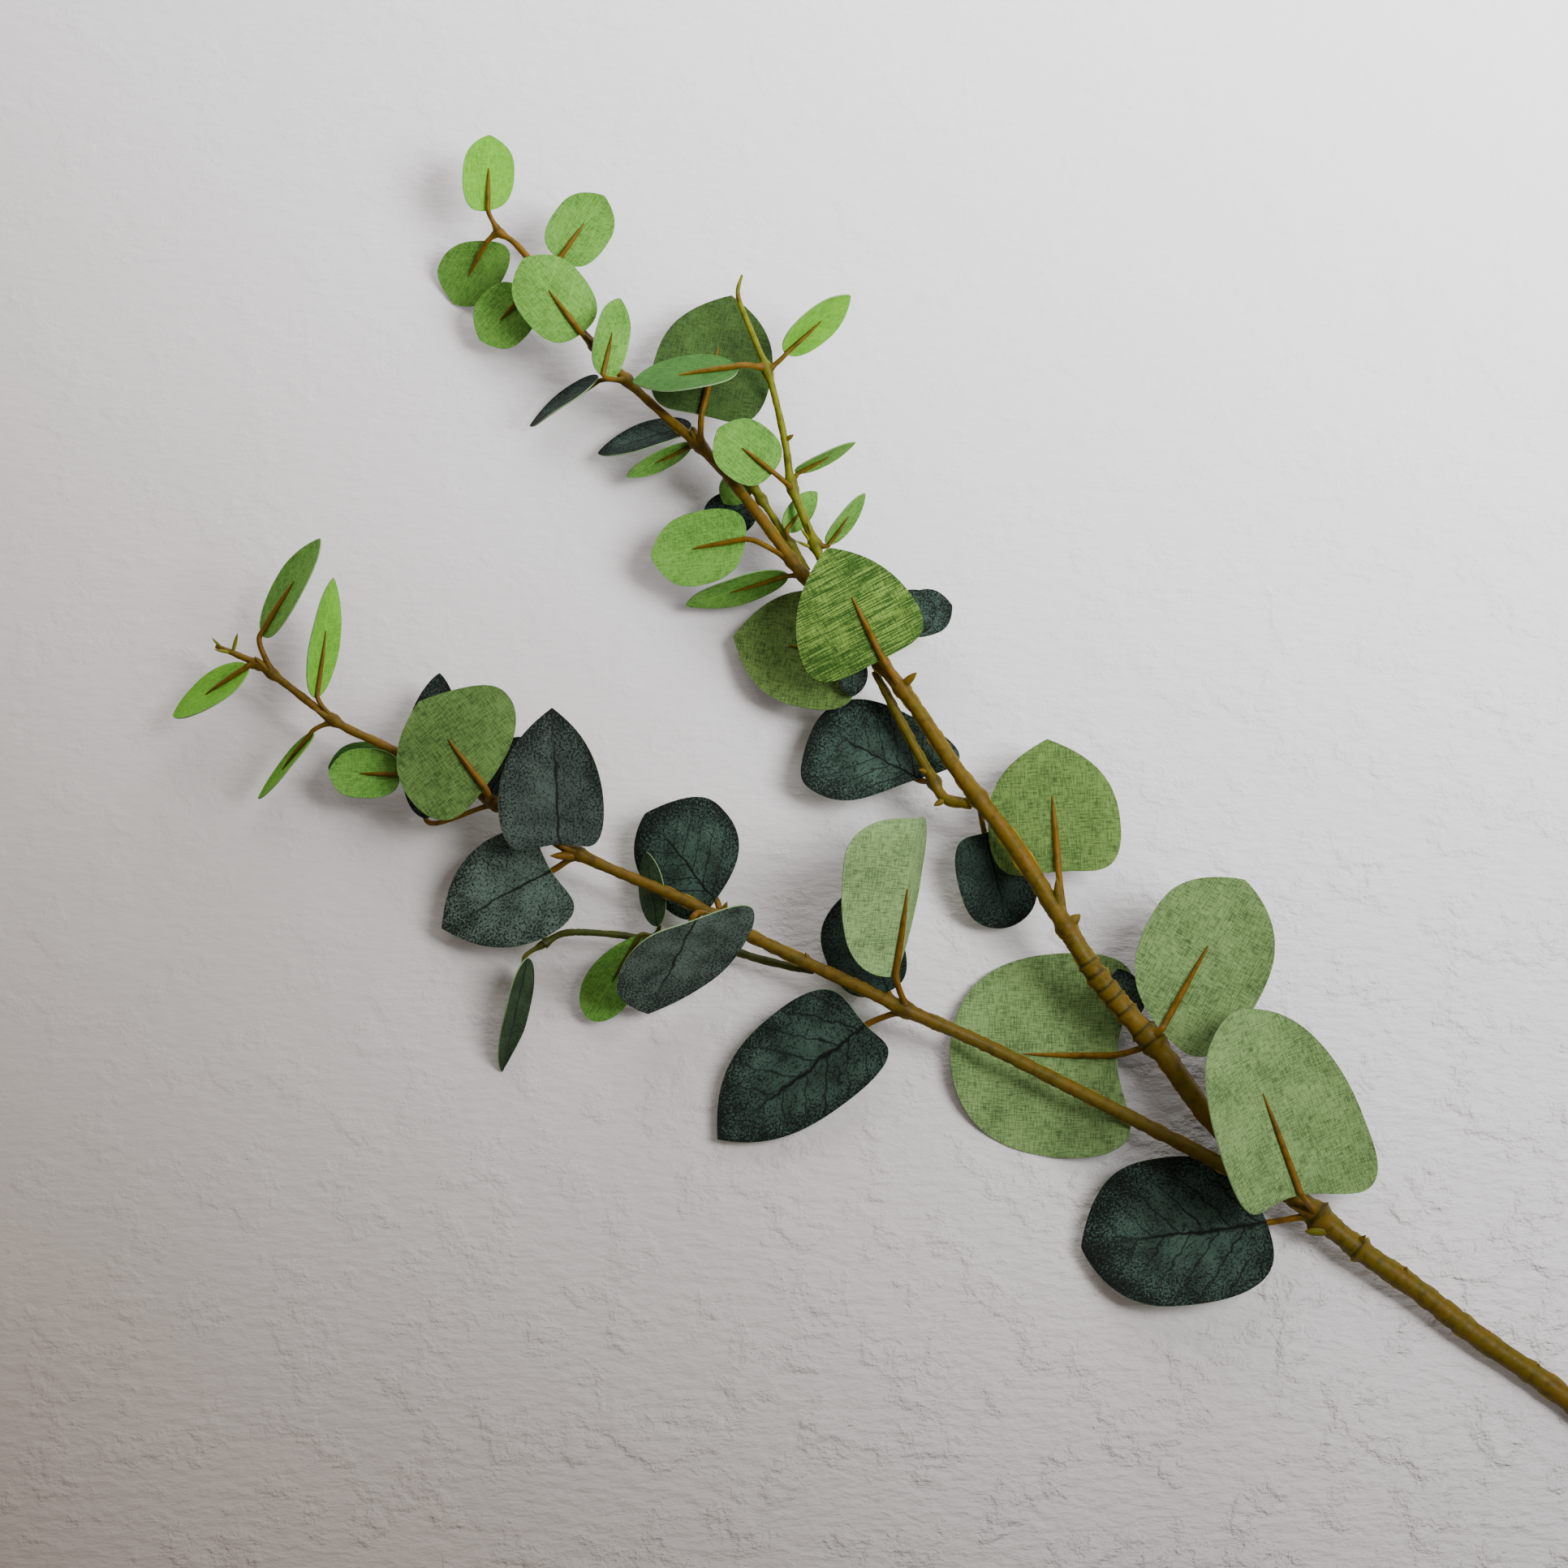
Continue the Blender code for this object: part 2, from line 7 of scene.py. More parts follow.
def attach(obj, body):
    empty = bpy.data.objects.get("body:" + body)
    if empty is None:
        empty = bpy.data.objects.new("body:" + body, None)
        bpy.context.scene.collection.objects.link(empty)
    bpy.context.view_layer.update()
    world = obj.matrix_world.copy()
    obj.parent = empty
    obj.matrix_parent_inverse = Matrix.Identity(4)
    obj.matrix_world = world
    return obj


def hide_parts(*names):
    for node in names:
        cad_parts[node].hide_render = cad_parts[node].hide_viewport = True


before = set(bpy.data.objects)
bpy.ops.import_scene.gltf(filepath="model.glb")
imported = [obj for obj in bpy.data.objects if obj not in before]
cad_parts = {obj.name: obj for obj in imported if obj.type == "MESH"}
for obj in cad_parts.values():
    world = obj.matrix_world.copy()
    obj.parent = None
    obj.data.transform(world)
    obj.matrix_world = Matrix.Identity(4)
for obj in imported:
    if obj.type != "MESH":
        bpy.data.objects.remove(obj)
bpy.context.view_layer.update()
bpy.ops.object.select_all(action="DESELECT")

# Wire core
# A drawn steel wire that the lower stem is moulded over, so that the spray keeps the shape it is
# bent to. Only its end shows, in the cut butt. The CAD wire is kept and gets its finish here.


def dye(red, green, blue):
    """A colour given as it looks on a screen, from 0 to 255, as the shader reads it."""
    shares = [((c / 255 + 0.055) / 1.055) ** 2.4 if c > 10 else c / 3295 for c in (red, green, blue)]
    return (*shares, 1)


def add_node(tree, kind, inputs=(), output=0, **settings):
    """A shader node with its settings made and its inputs filled, from other nodes or plain values."""
    node = tree.nodes.new("ShaderNode" + kind)
    for setting, value in settings.items():
        setattr(node, setting, value)
    for key, value in (inputs.items() if isinstance(inputs, dict) else enumerate(inputs)):
        if isinstance(value, bpy.types.NodeSocket):
            tree.links.new(value, node.inputs[key])
        else:
            node.inputs[key].default_value = value
    return node.outputs[output]


def new_finish(name, roughness, **sockets):
    """A material with the values that hold all over it, its nodes, and its shader's inputs."""
    material = bpy.data.materials.new(name)
    material.use_nodes = True
    shader = material.node_tree.nodes["Principled BSDF"]
    shader.inputs["Roughness"].default_value = roughness
    for socket, value in sockets.items():
        shader.inputs[socket.replace("_", " ")].default_value = value
    return material, material.node_tree, shader.inputs


steel, tree, shader = new_finish("drawn_steel", 0.35, Metallic=1.0)
place = add_node(tree, "TexCoord", output="Object")
grain = add_node(tree, "TexNoise", {"Vector": place, "Scale": 2500.0, "Detail": 3.0})
colour = add_node(tree, "ValToRGB", [grain])
colour.node.color_ramp.elements[0].color = dye(120, 118, 115)
colour.node.color_ramp.elements[1].color = dye(190, 187, 182)
tree.links.new(colour, shader["Base Color"])
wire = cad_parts["wire_core"]
wire.data.materials.clear()
wire.data.materials.append(steel)

# Main stem
# One moulding in olive-brown polyethylene: the stem, its collars, buds and petioles, and the midribs
# that the leaves are glued to. The two halves of the mould leave a fin of flash along both sides.

# Stem routes are x, y, z and radius in millimetres as the spray lies on the table, which is then
# turned so that the spray runs along +Y. Other sizes are in millimetres too
MM = 0.001
LAYOUT_TURN = radians(-40)
LAYOUT = Matrix.Translation((8 * MM, 79.8 * MM, 0)) @ Matrix.Rotation(LAYOUT_TURN, 4, "Z")
CLOTH = 0.35
TABLE_GAP = 0.3

# How far apart a stem's rings are and how many sides they have, and the bore and chamfer of its butt
STEM_STEP = 0.8
STEM_SIDES = 28
BORE_RADIUS = 1.1
BORE_DEPTH = 4.0
CHAMFER = 0.25

# Flash: how far a full fin stands out of a stem and of a petiole, the radius from which it is full,
# its width in radians, and how far the tube's sides crowd towards it. Then how much of the fin is
# there on the whole, and the lengths over which it comes and goes, over the shorter one more weakly
FLASH = 0.5
PETIOLE_FLASH = 0.1
FULL_FLASH_RADIUS = 2.2
FIN_WIDTH = 0.1
SIDE_CROWDING = 0.4
FIN_FILL = 0.55
LONG_RAG = 3
SHORT_RAG = 0.8
SHORT_RAG_SHARE = 0.6

# How lumpy the skin is, as a share of the radius, and the length of a lump
LUMPS = 0.035
LUMP_LENGTH = 2.5

# How far a stem swells at a leaf's node, as a share of its radius and most where it is thin, and how far
# along it the swelling and the painted shade round the node reach
NODE_SWELLING = 0.25
THIN_SWELLING = 0.75
THIN_STEM = 1.6
SWELLING_REACH = 1.8
NODE_SHADE = 0.4
NODE_SHADE_REACH = 1.2

# A collar's lip as a share of the radius, how far behind it the collar fades into the stem, and how far ahead
# of it the painted shade of its crevice runs
COLLAR_LIP = 0.32
COLLAR_REACH = 4.2
CREVICE_SHADE = 0.9

# A petiole's radius at a leaf at least 27 mm wide, the share of it that the narrowest leaves get, the
# sides of petioles and buds, the points along a petiole, and the shares of its way over which it
# still leaves the stem and already turns into its midrib. It is fully amber from a 36 mm leaf on
PETIOLE_RADIUS = 0.85
SLENDER_PETIOLE = 0.55
FULL_PETIOLE_LEAF = 27.0
PETIOLE_SIDES = 12
PETIOLE_POINTS = 18
LEAVING_SHARE = 0.35
ARRIVING_SHARE = 0.3
AMBER_LEAF = 36

# A petiole's foot in the stem: how far it flares and how much painted shade darkens it, and how far out both
# reach
FOOT_FLARE = 0.7
FOOT_SHADE = 0.5
FOOT_REACH = 1.3

# A midrib: the points along it, where it starts and how far it runs on the unit disc, how much it
# thins towards its end, and how far its middle lies off the cloth, as a share of its radius
MIDRIB_POINTS = 16
MIDRIB_START = -0.94
MIDRIB_RUN = 1.06
MIDRIB_THINNING = 0.8
MIDRIB_SEAT = 0.92

# A bud's outline, as places along it with the share of its full radius there, and how far its tip
# curls up, as a share of its length
BUD_OUTLINE = ((0, 0.8), (0.25, 0.92), (0.45, 1), (0.62, 0.9), (0.78, 0.68), (0.9, 0.38), (1, 0.1))
BUD_CURL = 0.12

MAIN_STEM_ROUTE = (
    (277, -225, 2.9, 2.9), (244, -194.5, 3.1, 2.9), (210, -165, 3.9, 2.85), (186.5, -148.5, 5, 2.85),
    (169.5, -135.5, 6.5, 2.8), (155, -125.5, 8, 2.8), (140, -113.5, 10, 2.75), (126, -102, 12, 2.7),
    (113.5, -89.5, 14, 2.65), (101.5, -73, 15.5, 2.6), (91, -61, 16.5, 2.55), (83, -51, 18.5, 2.5),
    (72.5, -34.5, 21, 2.3), (61, -16.5, 22, 2.2), (46.5, 3, 22, 2), (33, 23.5, 21.5, 1.8),
    (16, 44, 20, 1.65), (5, 57, 19.5, 1.5), (-8, 75, 19, 1.4), (-21, 91, 18, 1.3),
    (-32, 101, 17.5, 1.2), (-43, 111.5, 17.5, 1.1), (-57, 127, 18, 1), (-72, 148, 17, 0.85),
    (-79, 154, 16.5, 0.75),
)
COLLARS = (
    (82.5, -48.5), (84.8, -52), (87, -54.8), (89.2, -57.6), (91.5, -62), (96.5, -66.5), (99, -70.5),
    (143, -115.5), (154, -124.5),
)
# Each bud: the nearest point of its stem, its direction, its length and its radius, and in some its
# warmth, which runs from -1 for young green to 1 for amber
MAIN_STEM_BUDS = (
    ((202, -157), (0.3, 0.9, 0.5), 3.5, 0.9),
    ((166, -133), (0.2, 0.9, 0.5), 4, 0.8),
    ((153, -124), (0.6, 0.6, 0.6), 4.5, 0.9),
    ((147, -120), (-0.9, -0.1, 0.1), 8, 1.7, -0.35),
    ((142, -116), (-0.9, 0.2, 0.3), 7, 1.2),
    ((77, -35), (-0.1, 1, 0.2), 10.5, 1.3),
    ((78, -38), (0.75, 0.65, 0.1), 5, 1.6),
    ((31, 25), (0.7, 0.6, 0.4), 6, 1.2),
    ((-23, 93), (-0.5, 0.8, 0.3), 5, 1),
)

# Leaf outlines: where the blade is widest along its length, how pointed its base is, how full and
# how pointed its tip is, and how deep its base notch is
DISC = (0.45, 0.50, 2.0, 0.50, 0.16)
ROUND = (0.48, 0.50, 3.0, 0.85, 0.04)
HEART = (0.38, 0.50, 2.2, 0.60, 0.12)
DROP = (0.42, 0.50, 2.5, 1.00, 0.09)
WEDGE = (0.32, 0.40, 2.0, 0.90, 0.06)
OGIVE = (0.42, 0.50, 2.0, 1.00, 0.11)
BLUNT = (0.50, 0.50, 3.0, 0.55, 0.08)
SQUARE = (0.42, 0.32, 2.5, 0.90, 0.00)
OVAL = (0.46, 0.60, 2.2, 0.80, 0.02)
SPOON = (0.62, 1.00, 2.0, 0.55, 0.00)
PADDLE = (0.74, 0.42, 2.0, 0.38, 0.02)

# Each leaf: where its petiole leaves the stem, the base and the tip of its blade, its width, its
# roll (0 with the printed face up, 180 with the underside up), how far its edges cup towards the
# printed face, the fold along its midrib, its bow, its outline, its lean, which is how far one side
# lies ahead of the other at the base, and its skew, how much wider that side is
Leaf = namedtuple("Leaf", "joint base tip width roll cup fold bow outline lean skew", defaults=(0, 0))
MAIN_STEM_LEAVES = (
    Leaf((143, -116), (137, -111, 18.5), (118.5, -63.5, 33), 48.5, 155, -30, 0, 0, HEART, -0.3, 0.03),
    Leaf((143, -115.5), (129.5, -118, 9), (80, -124.5, 4), 40.5, 0, 18, 0, 0, ROUND, -0.22, -0.05),
    Leaf((99.5, -70.5), (90, -73, 7.3), (45, -71.5, 5), 56, 180, -8, 0, 8, DISC),
    Leaf((97.5, -69), (101, -67, 18), (123, -27.5, 27), 36, 180, -12, 0, 1, ROUND, -0.4, 0.04),
    Leaf((96, -67), (94, -63.5, 12.8), (90, -50, 12.5), 10, 0, 0, 0, 0, OVAL),
    Leaf((76, -39), (74, -24, 16), (71.5, 12.5, 14), 36, 180, 8, 0, -1, DROP),
    Leaf((52.5, -4.5), (54.5, -13, 12), (61, -38, 5), 21, 0, 10, 0, 0, BLUNT),
    Leaf((31.5, 25), (26.5, 32.5, 25), (11.5, 61.5, 33), 35, 180, 10, 0, -1, WEDGE, 0, -0.13),
    Leaf((26, 32), (21, 34.8, 15), (-14, 42.2, 6), 33, 180, -5, 0, 0, DROP),
    Leaf((17, 42), (31, 45, 16), (46, 49.5, 13), 13, 0, 8, 0, 0, ROUND),
    Leaf((14, 46), (28, 45, 20), (41.5, 47.5, 19), 13, 0, 8, 0, 0, ROUND),
    Leaf((17, 42.5), (18.5, 35, 18.5), (18.5, 23.5, 17.8), 8.5, 0, 8, 0, 0, OVAL),
    Leaf((5, 57), (1, 58, 16), (-27, 50.5, 7), 12, 240, -10, 0, 0, OVAL),
    Leaf((2, 61), (-10.5, 66.7, 19), (-36.5, 63.2, 13), 20.5, 180, 8, 0, 0, ROUND, -0.25),
    Leaf((-23, 93), (-22.5, 100.5, 23), (-14.5, 137, 12), 32.5, 180, -6, 0, 0, DROP),
    Leaf((-24, 94), (-25.5, 100, 13), (-51.5, 93.5, 7), 16, -50, 15, 0, 0, OVAL),
    Leaf((-24, 94), (-25.5, 94.5, 14), (-43.5, 86.5, 9), 8.5, 245, -10, 0, 0, OVAL),
    Leaf((-43, 111.5), (-50, 111.8, 22.5), (-45, 133, 24), 13, 132, -15, 0, 0, ROUND, -0.3),
    Leaf((-43, 111.5), (-51, 113, 15), (-70.5, 101.5, 6), 14, -60, 15, 0, 0, OVAL),
    Leaf((-52, 121.5), (-55.5, 123.5, 22), (-71.5, 144.5, 23), 20, 180, 12, 0, -1, ROUND),
    Leaf((-63, 136), (-71.2, 137, 14), (-84.4, 125.3, 8), 17, 180, -5, 0, 0, ROUND),
    Leaf((-63, 136), (-62.2, 146, 17), (-49.6, 163.2, 20), 17, 165, -10, 0, 0, ROUND),
    Leaf((-79, 154), (-82, 159.5, 18), (-81.5, 180.5, 20), 14.5, 165, -10, 0, 0, ROUND, 0.2),
    Leaf((-79, 154), (-82, 152, 14), (-92.5, 138, 0.3), 18, 180, -5, 0, 0, ROUND, 0.65),
)


def on_table(point):
    """A point of the layout, in millimetres, in the row frame."""
    return LAYOUT @ (MM * point)


def smooth_route(route):
    """Points of a smooth curve through the route's own points, one step apart, with their radii."""
    knots = [Vector(point) for point in route]
    knots = [2 * knots[0] - knots[1], *knots, 2 * knots[-1] - knots[-2]]
    points = []
    for before, start, end, after in zip(knots, knots[1:], knots[2:], knots[3:]):
        pieces = max(1, round((end - start).length / STEM_STEP))
        for piece in range(pieces):
            t = piece / pieces
            bend = (2 * before - 5 * start + 4 * end - after) * t * t
            turn = (3 * start - before - 3 * end + after) * t * t * t
            points.append((2 * start + (end - before) * t + bend + turn) / 2)
    points.append(knots[-2])
    return points


def nearest_point(points, place):
    """The point of a stem's centre line that lies nearest to a place on the layout, with its radius."""
    best = None
    for start, end in zip(points, points[1:]):
        run = (end - start).xy
        t = max(0, min(1, (Vector(place) - start.xy).dot(run) / run.length_squared))
        point = start.lerp(end, t)
        gap = (point.xy - Vector(place)).length
        if best is None or gap < best[0]:
            best = (gap, point)
    return best[1]


def blade_axes(leaf):
    """Directions of a blade, from base to tip, across it and out of its printed face, and its length."""
    along = Vector(leaf.tip) - Vector(leaf.base)
    length = along.length
    along.normalize()
    upright = (Vector((0, 0, 1)) - along * along.z).normalized()
    left = upright.cross(along)
    roll = radians(leaf.roll)
    face = upright * cos(roll) + left * sin(roll)
    return along, face.cross(along), face, length


def blade_point(leaf, x, y):
    """Where a point of the unit disc comes to lie on the blade, in millimetres: x runs from -1 at
    the base to 1 at the tip, y from -1 to 1 across. With it, how far along the blade it lies, from
    0 to 1, and how far across, in millimetres."""
    along, side, face, length = blade_axes(leaf)
    widest, base_point, tip_fullness, tip_point, notch = leaf.outline
    half = leaf.width / 2
    run = (1 + x) / 2
    if run < widest:
        outline = max(0, 1 - (1 - run / widest) ** 2) ** base_point
    else:
        outline = max(0, 1 - ((run - widest) / (1 - widest)) ** tip_fullness) ** tip_point
    across = y * outline / sqrt(max(1e-6, 1 - x * x)) * (1 + leaf.skew * (1 if y > 0 else -1))
    run += notch * -4 * y * y * (1 - run) ** 2 + leaf.lean * across * half / length * (1 - run)
    fold = radians(leaf.fold)
    cup = radians(leaf.cup) or 1e-4
    turned = fold + cup * abs(across)
    reach = half * (sin(turned) - sin(fold)) / cup
    rise = half * (cos(fold) - cos(turned)) / cup
    rise += leaf.bow * 4 * max(0, run) * (1 - run)
    point = Vector(leaf.base) + along * length * run + face * rise
    point += side * (reach if across > 0 else -reach)
    point.z = max(point.z, TABLE_GAP)
    return point, run, across * half


def roll_tube(points, radii, sides, flash, warmths, shades):
    """A flat grid rolled round a run of points into a closed tube, with its fins of flash. Warmths say how
    amber the plastic is at each point, and shades how much painted shade darkens it there."""
    bpy.ops.mesh.primitive_grid_add(x_subdivisions=len(points) - 1, y_subdivisions=sides, size=2)
    tube = bpy.context.object
    side = (points[1] - points[0]).cross(Vector((0, 0, 1)))
    if side.length < 1e-3:
        side = Vector((1, 0, 0))
    rings = []
    for number, point in enumerate(points):
        way = points[min(number + 1, len(points) - 1)] - points[max(number - 1, 0)]
        if way.length > 1e-6:
            way.normalize()
            side = (side - way * side.dot(way)).normalized()
            upright = side.cross(way)
        rings.append((point, side.copy(), upright))
    markings = ("flash", "warmth", "shade")
    for marking in markings:
        tube.data.attributes.new(marking, "FLOAT", "POINT")
    fins, warm, painted_shade_marks = [tube.data.attributes[marking].data for marking in markings]
    for vertex in tube.data.vertices:
        ring = round((vertex.co.x + 1) / 2 * (len(points) - 1))
        point, side, upright = rings[ring]
        turn = (vertex.co.y + 1) * pi
        turn -= SIDE_CROWDING * sin(2 * turn) if flash else 0
        fin = exp(-(sin(turn) / FIN_WIDTH) ** 2) if flash else 0
        filled = FIN_FILL + noise.noise(point / LONG_RAG)
        filled += SHORT_RAG_SHARE * noise.noise(point / SHORT_RAG)
        fin *= max(0, filled)
        lump = 1 + LUMPS * noise.noise(point / LUMP_LENGTH + side * sin(turn))
        reach = radii[ring] * lump + flash * fin * min(1, radii[ring] / FULL_FLASH_RADIUS)
        vertex.co = on_table(point + (side * cos(turn) + upright * sin(turn)) * reach)
        fins[vertex.index].value = fin
        warm[vertex.index].value = warmths[ring]
        painted_shade_marks[vertex.index].value = shades[ring]
    bpy.ops.object.mode_set(mode="EDIT")
    bpy.ops.mesh.select_all(action="SELECT")
    bpy.ops.mesh.remove_doubles(threshold=0.001 * MM)
    bpy.ops.mesh.fill_holes(sides=0)
    bpy.ops.mesh.normals_make_consistent(inside=False)
    bpy.ops.object.mode_set(mode="OBJECT")
    return tube


def mould_petiole(stem_points, leaf):
    """A petiole from the stem to the blade, and on along the blade's underside as its midrib."""
    face = blade_axes(leaf)[2]
    start = nearest_point(stem_points, leaf.joint)
    fullness = min(1, leaf.width / FULL_PETIOLE_LEAF)
    radius = PETIOLE_RADIUS * (SLENDER_PETIOLE + (1 - SLENDER_PETIOLE) * fullness)
    midrib = []
    midrib_radii = []
    for number in range(MIDRIB_POINTS):
        run = number / (MIDRIB_POINTS - 1)
        thickness = radius * (1 - MIDRIB_THINNING * run ** 2.5)
        point = blade_point(leaf, MIDRIB_START + MIDRIB_RUN * run, 0)[0]
        midrib.append(point - face * (CLOTH / 2 + thickness * MIDRIB_SEAT))
        midrib_radii.append(thickness)
    end = midrib[0]
    reach = (end - start.xyz).length
    leave = start.xyz + (end - start.xyz) * LEAVING_SHARE
    arrive = end - (midrib[1] - midrib[0]).normalized() * reach * ARRIVING_SHARE - face * radius
    points = []
    radii = []
    shades = []
    for number in range(PETIOLE_POINTS):
        t = number / PETIOLE_POINTS
        near = start.xyz * (1 - t) ** 3 + leave * 3 * t * (1 - t) ** 2
        points.append(near + arrive * 3 * t * t * (1 - t) + end * t ** 3)
        foot = max(0, (points[-1] - start.xyz).length - start.w) / FOOT_REACH
        radii.append(radius * (1 + FOOT_FLARE * exp(-foot * foot)))
        # Painted shade darkens the petiole's foot where it meets the stem.
        shades.append(FOOT_SHADE * exp(-foot * foot))
    shades += [0] * len(midrib)
    warmths = [min(1, leaf.width / AMBER_LEAF)] * len(shades)
    return roll_tube(points + midrib, radii + midrib_radii, PETIOLE_SIDES, PETIOLE_FLASH, warmths, shades)


def mould_bud(stem_points, place, direction, length, radius, warmth=0.3):
    """A pointed bud rooted in the stem, its scale curling up a little."""
    start = nearest_point(stem_points, place).xyz
    way = Vector(direction).normalized() * length
    curl = Vector((0, 0, BUD_CURL * length))
    points = [start + way * run + curl * run * run for run, share in BUD_OUTLINE]
    radii = [radius * share for run, share in BUD_OUTLINE]
    return roll_tube(points, radii, PETIOLE_SIDES, 0, [warmth] * len(points), [0] * len(points))


def mould_stem(name, route, leaves, buds, finish, collars=(), warmth=(0, 0), bored=False):
    """A moulded stem with the petioles, midribs, collars and buds that are part of it. Warmth is how
    amber its plastic is at its two ends. A bored stem has the wire's bore in its cut butt."""
    points = smooth_route(route)
    nodes = [nearest_point(points, leaf.joint) for leaf in leaves]
    swellings = [NODE_SWELLING + THIN_SWELLING * max(0, THIN_STEM - node.w) for node in nodes]
    lips = [nearest_point(points, collar).xyz for collar in collars]
    radii = []
    shades = []
    for point, ahead in zip(points, points[1:] + [2 * points[-1] - points[-2]]):
        gaps = [(point.xyz - node.xyz).length for node in nodes]
        swell = max(share * exp(-(gap / SWELLING_REACH) ** 2) for share, gap in zip(swellings, gaps))
        # Painted shade darkens the stem round each leaf's node.
        shade = NODE_SHADE * exp(-(min(gaps) / NODE_SHADE_REACH) ** 2)
        lip = 0
        for centre in lips:
            past = (centre - point.xyz).dot((ahead - point).xyz.normalized())
            near = (centre - point.xyz).length
            if near < COLLAR_REACH and past > 0:
                lip = max(lip, COLLAR_LIP * (1 - past / COLLAR_REACH) ** 2)
            # Painted shade fills the crevice just ahead of a collar's lip.
            elif near < CREVICE_SHADE:
                shade = 1
        radii.append(point.w * (1 + swell + lip))
        shades.append(shade)
    centres = [point.xyz for point in points]
    warmths = [warmth[0] + (warmth[1] - warmth[0]) * number / len(points) for number in range(len(points))]
    if bored:
        butt = centres[0]
        inward = (centres[1] - butt).normalized()
        centres[:1] = [butt + inward * BORE_DEPTH, butt, butt, butt + inward * CHAMFER]
        radii[:1] = [BORE_RADIUS, BORE_RADIUS, radii[0] - CHAMFER, radii[0]]
        warmths[:0] = [warmths[0]] * 3
        shades[:0] = [0] * 3
    stem = roll_tube(centres, radii, STEM_SIDES, FLASH, warmths, shades)
    extras = [mould_petiole(points, leaf) for leaf in leaves]
    extras += [mould_bud(points, *bud) for bud in buds]
    for extra in extras:
        extra.select_set(True)
    stem.select_set(True)
    bpy.context.view_layer.objects.active = stem
    bpy.ops.object.join()
    stem.name = "moulded_" + name
    stem.data.materials.append(finish)
    bpy.ops.object.shade_smooth_by_angle(angle=radians(50))
    bpy.ops.object.select_all(action="DESELECT")
    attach(stem, "root")
    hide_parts(name)


def blend_colours(tree, share, first, second):
    """A colour that runs from the first to the second as the share goes from 0 to 1."""
    return add_node(tree, "Mix", {0: share, 6: first, 7: second}, output=2, data_type="RGBA")


def tone(colour, share):
    """A colour made darker, or lighter where the share is above 1."""
    return (*[min(1, part * share) for part in colour[:3]], 1)


def moulded_plastic(name, olive, amber, flash_colour):
    """Satin plastic, mottled along the stem, paler where the flash is thin, green at young tips."""
    young = dye(98, 102, 14)
    material, tree, shader = new_finish(name, 0.5, Specular_IOR_Level=0.14)
    place = add_node(tree, "TexCoord", output="Object")
    mottle = add_node(tree, "TexNoise", {"Vector": place, "Scale": 120.0, "Detail": 4.0, "Roughness": 0.6})
    warmth = add_node(tree, "Attribute", output="Fac", attribute_name="warmth")
    flash = add_node(tree, "Attribute", output="Fac", attribute_name="flash")
    blend = add_node(tree, "Math", [mottle, 1.8, -0.75], operation="MULTIPLY_ADD")
    blend = add_node(tree, "Math", [blend, warmth], operation="ADD", use_clamp=True)
    body = blend_colours(tree, blend, olive, amber)
    youth = add_node(tree, "MapRange", [warmth, -0.6, -0.2, 1.0, 0.0])
    body = blend_colours(tree, youth, body, young)
    stains = add_node(tree, "TexNoise", {"Vector": place, "Scale": 420.0, "Detail": 3.0})
    stains = add_node(tree, "MapRange", [stains, 0.48, 0.7, 0.0, 0.6])
    body = blend_colours(tree, stains, body, tone(olive, 0.4))
    # Painted shade: the shade attribute darkens the plastic at nodes, in collar crevices and at petiole feet.
    shade = add_node(tree, "Attribute", output="Fac", attribute_name="shade")
    body = blend_colours(tree, shade, body, tone(olive, 0.3))
    thin = add_node(tree, "Math", [flash, 0.75], operation="MULTIPLY", use_clamp=True)
    body = blend_colours(tree, thin, body, flash_colour)
    tree.links.new(body, shader["Base Color"])
    scratches = add_node(tree, "TexNoise", {"Vector": place, "Scale": 900.0, "Detail": 5.0})
    bump = add_node(tree, "Bump", {"Strength": 0.35, "Distance": 0.3 * MM, "Height": scratches})
    tree.links.new(bump, shader["Normal"])
    gloss = add_node(tree, "MapRange", [scratches, 0.3, 0.7, 0.4, 0.62])
    tree.links.new(gloss, shader["Roughness"])
    return material


olive_plastic = moulded_plastic("olive_brown_plastic", dye(80, 72, 4), dye(100, 69, 5), dye(138, 122, 32))
mould_stem(
    "main_stem", MAIN_STEM_ROUTE, MAIN_STEM_LEAVES, MAIN_STEM_BUDS, olive_plastic, COLLARS,
    warmth=(0.15, 0.5), bored=True,
)

# Leaves of the main stem
# Blades die-cut from starched plain-weave polyester, printed blue-green with dark veins and specks
# on one face and dyed green on the other. Each is glued along its moulded midrib.

# How far the print moves on from one leaf to the next, how far a blade's rim waves and over what
# length, and the grid of a leaf wider than a broad leaf's 20 mm and of the others
PRINT_STEP = 60
WAVE = 0.5
WAVE_LENGTH = 11
BROAD_LEAF = 20
BROAD_GRID = (30, 24)
NARROW_GRID = (18, 12)

# Side veins leave the midvein at about 50 degrees, which has this sine and cosine. They lie a ninth of
# the blade's length apart, measured square to them, and round its base 2.6 to the radian. A share of
# that gap moves the veins of one side ahead and those of the other back
VEIN_SINE = 0.77
VEIN_COSINE = 0.64
VEIN_ANGLE = 0.873
SIDE_VEINS = 9.0
FAN_VEINS = 2.6
SIDE_STAGGER = 0.22


def cloth_relief(tree, cloth, strength):
    """The cloth's threads, half a millimetre apart, as a bump."""
    scaled = add_node(tree, "VectorMath", {0: cloth, "Scale": 13.0}, operation="SCALE")
    along, across = add_node(tree, "SeparateXYZ", [scaled]).node.outputs[:2]
    warp = add_node(tree, "Math", [along], operation="SINE")
    weft = add_node(tree, "Math", [across], operation="SINE")
    weave = add_node(tree, "Math", [warp, weft], operation="MULTIPLY")
    return add_node(tree, "Bump", {"Strength": strength, "Distance": 0.08 * MM, "Height": weave})


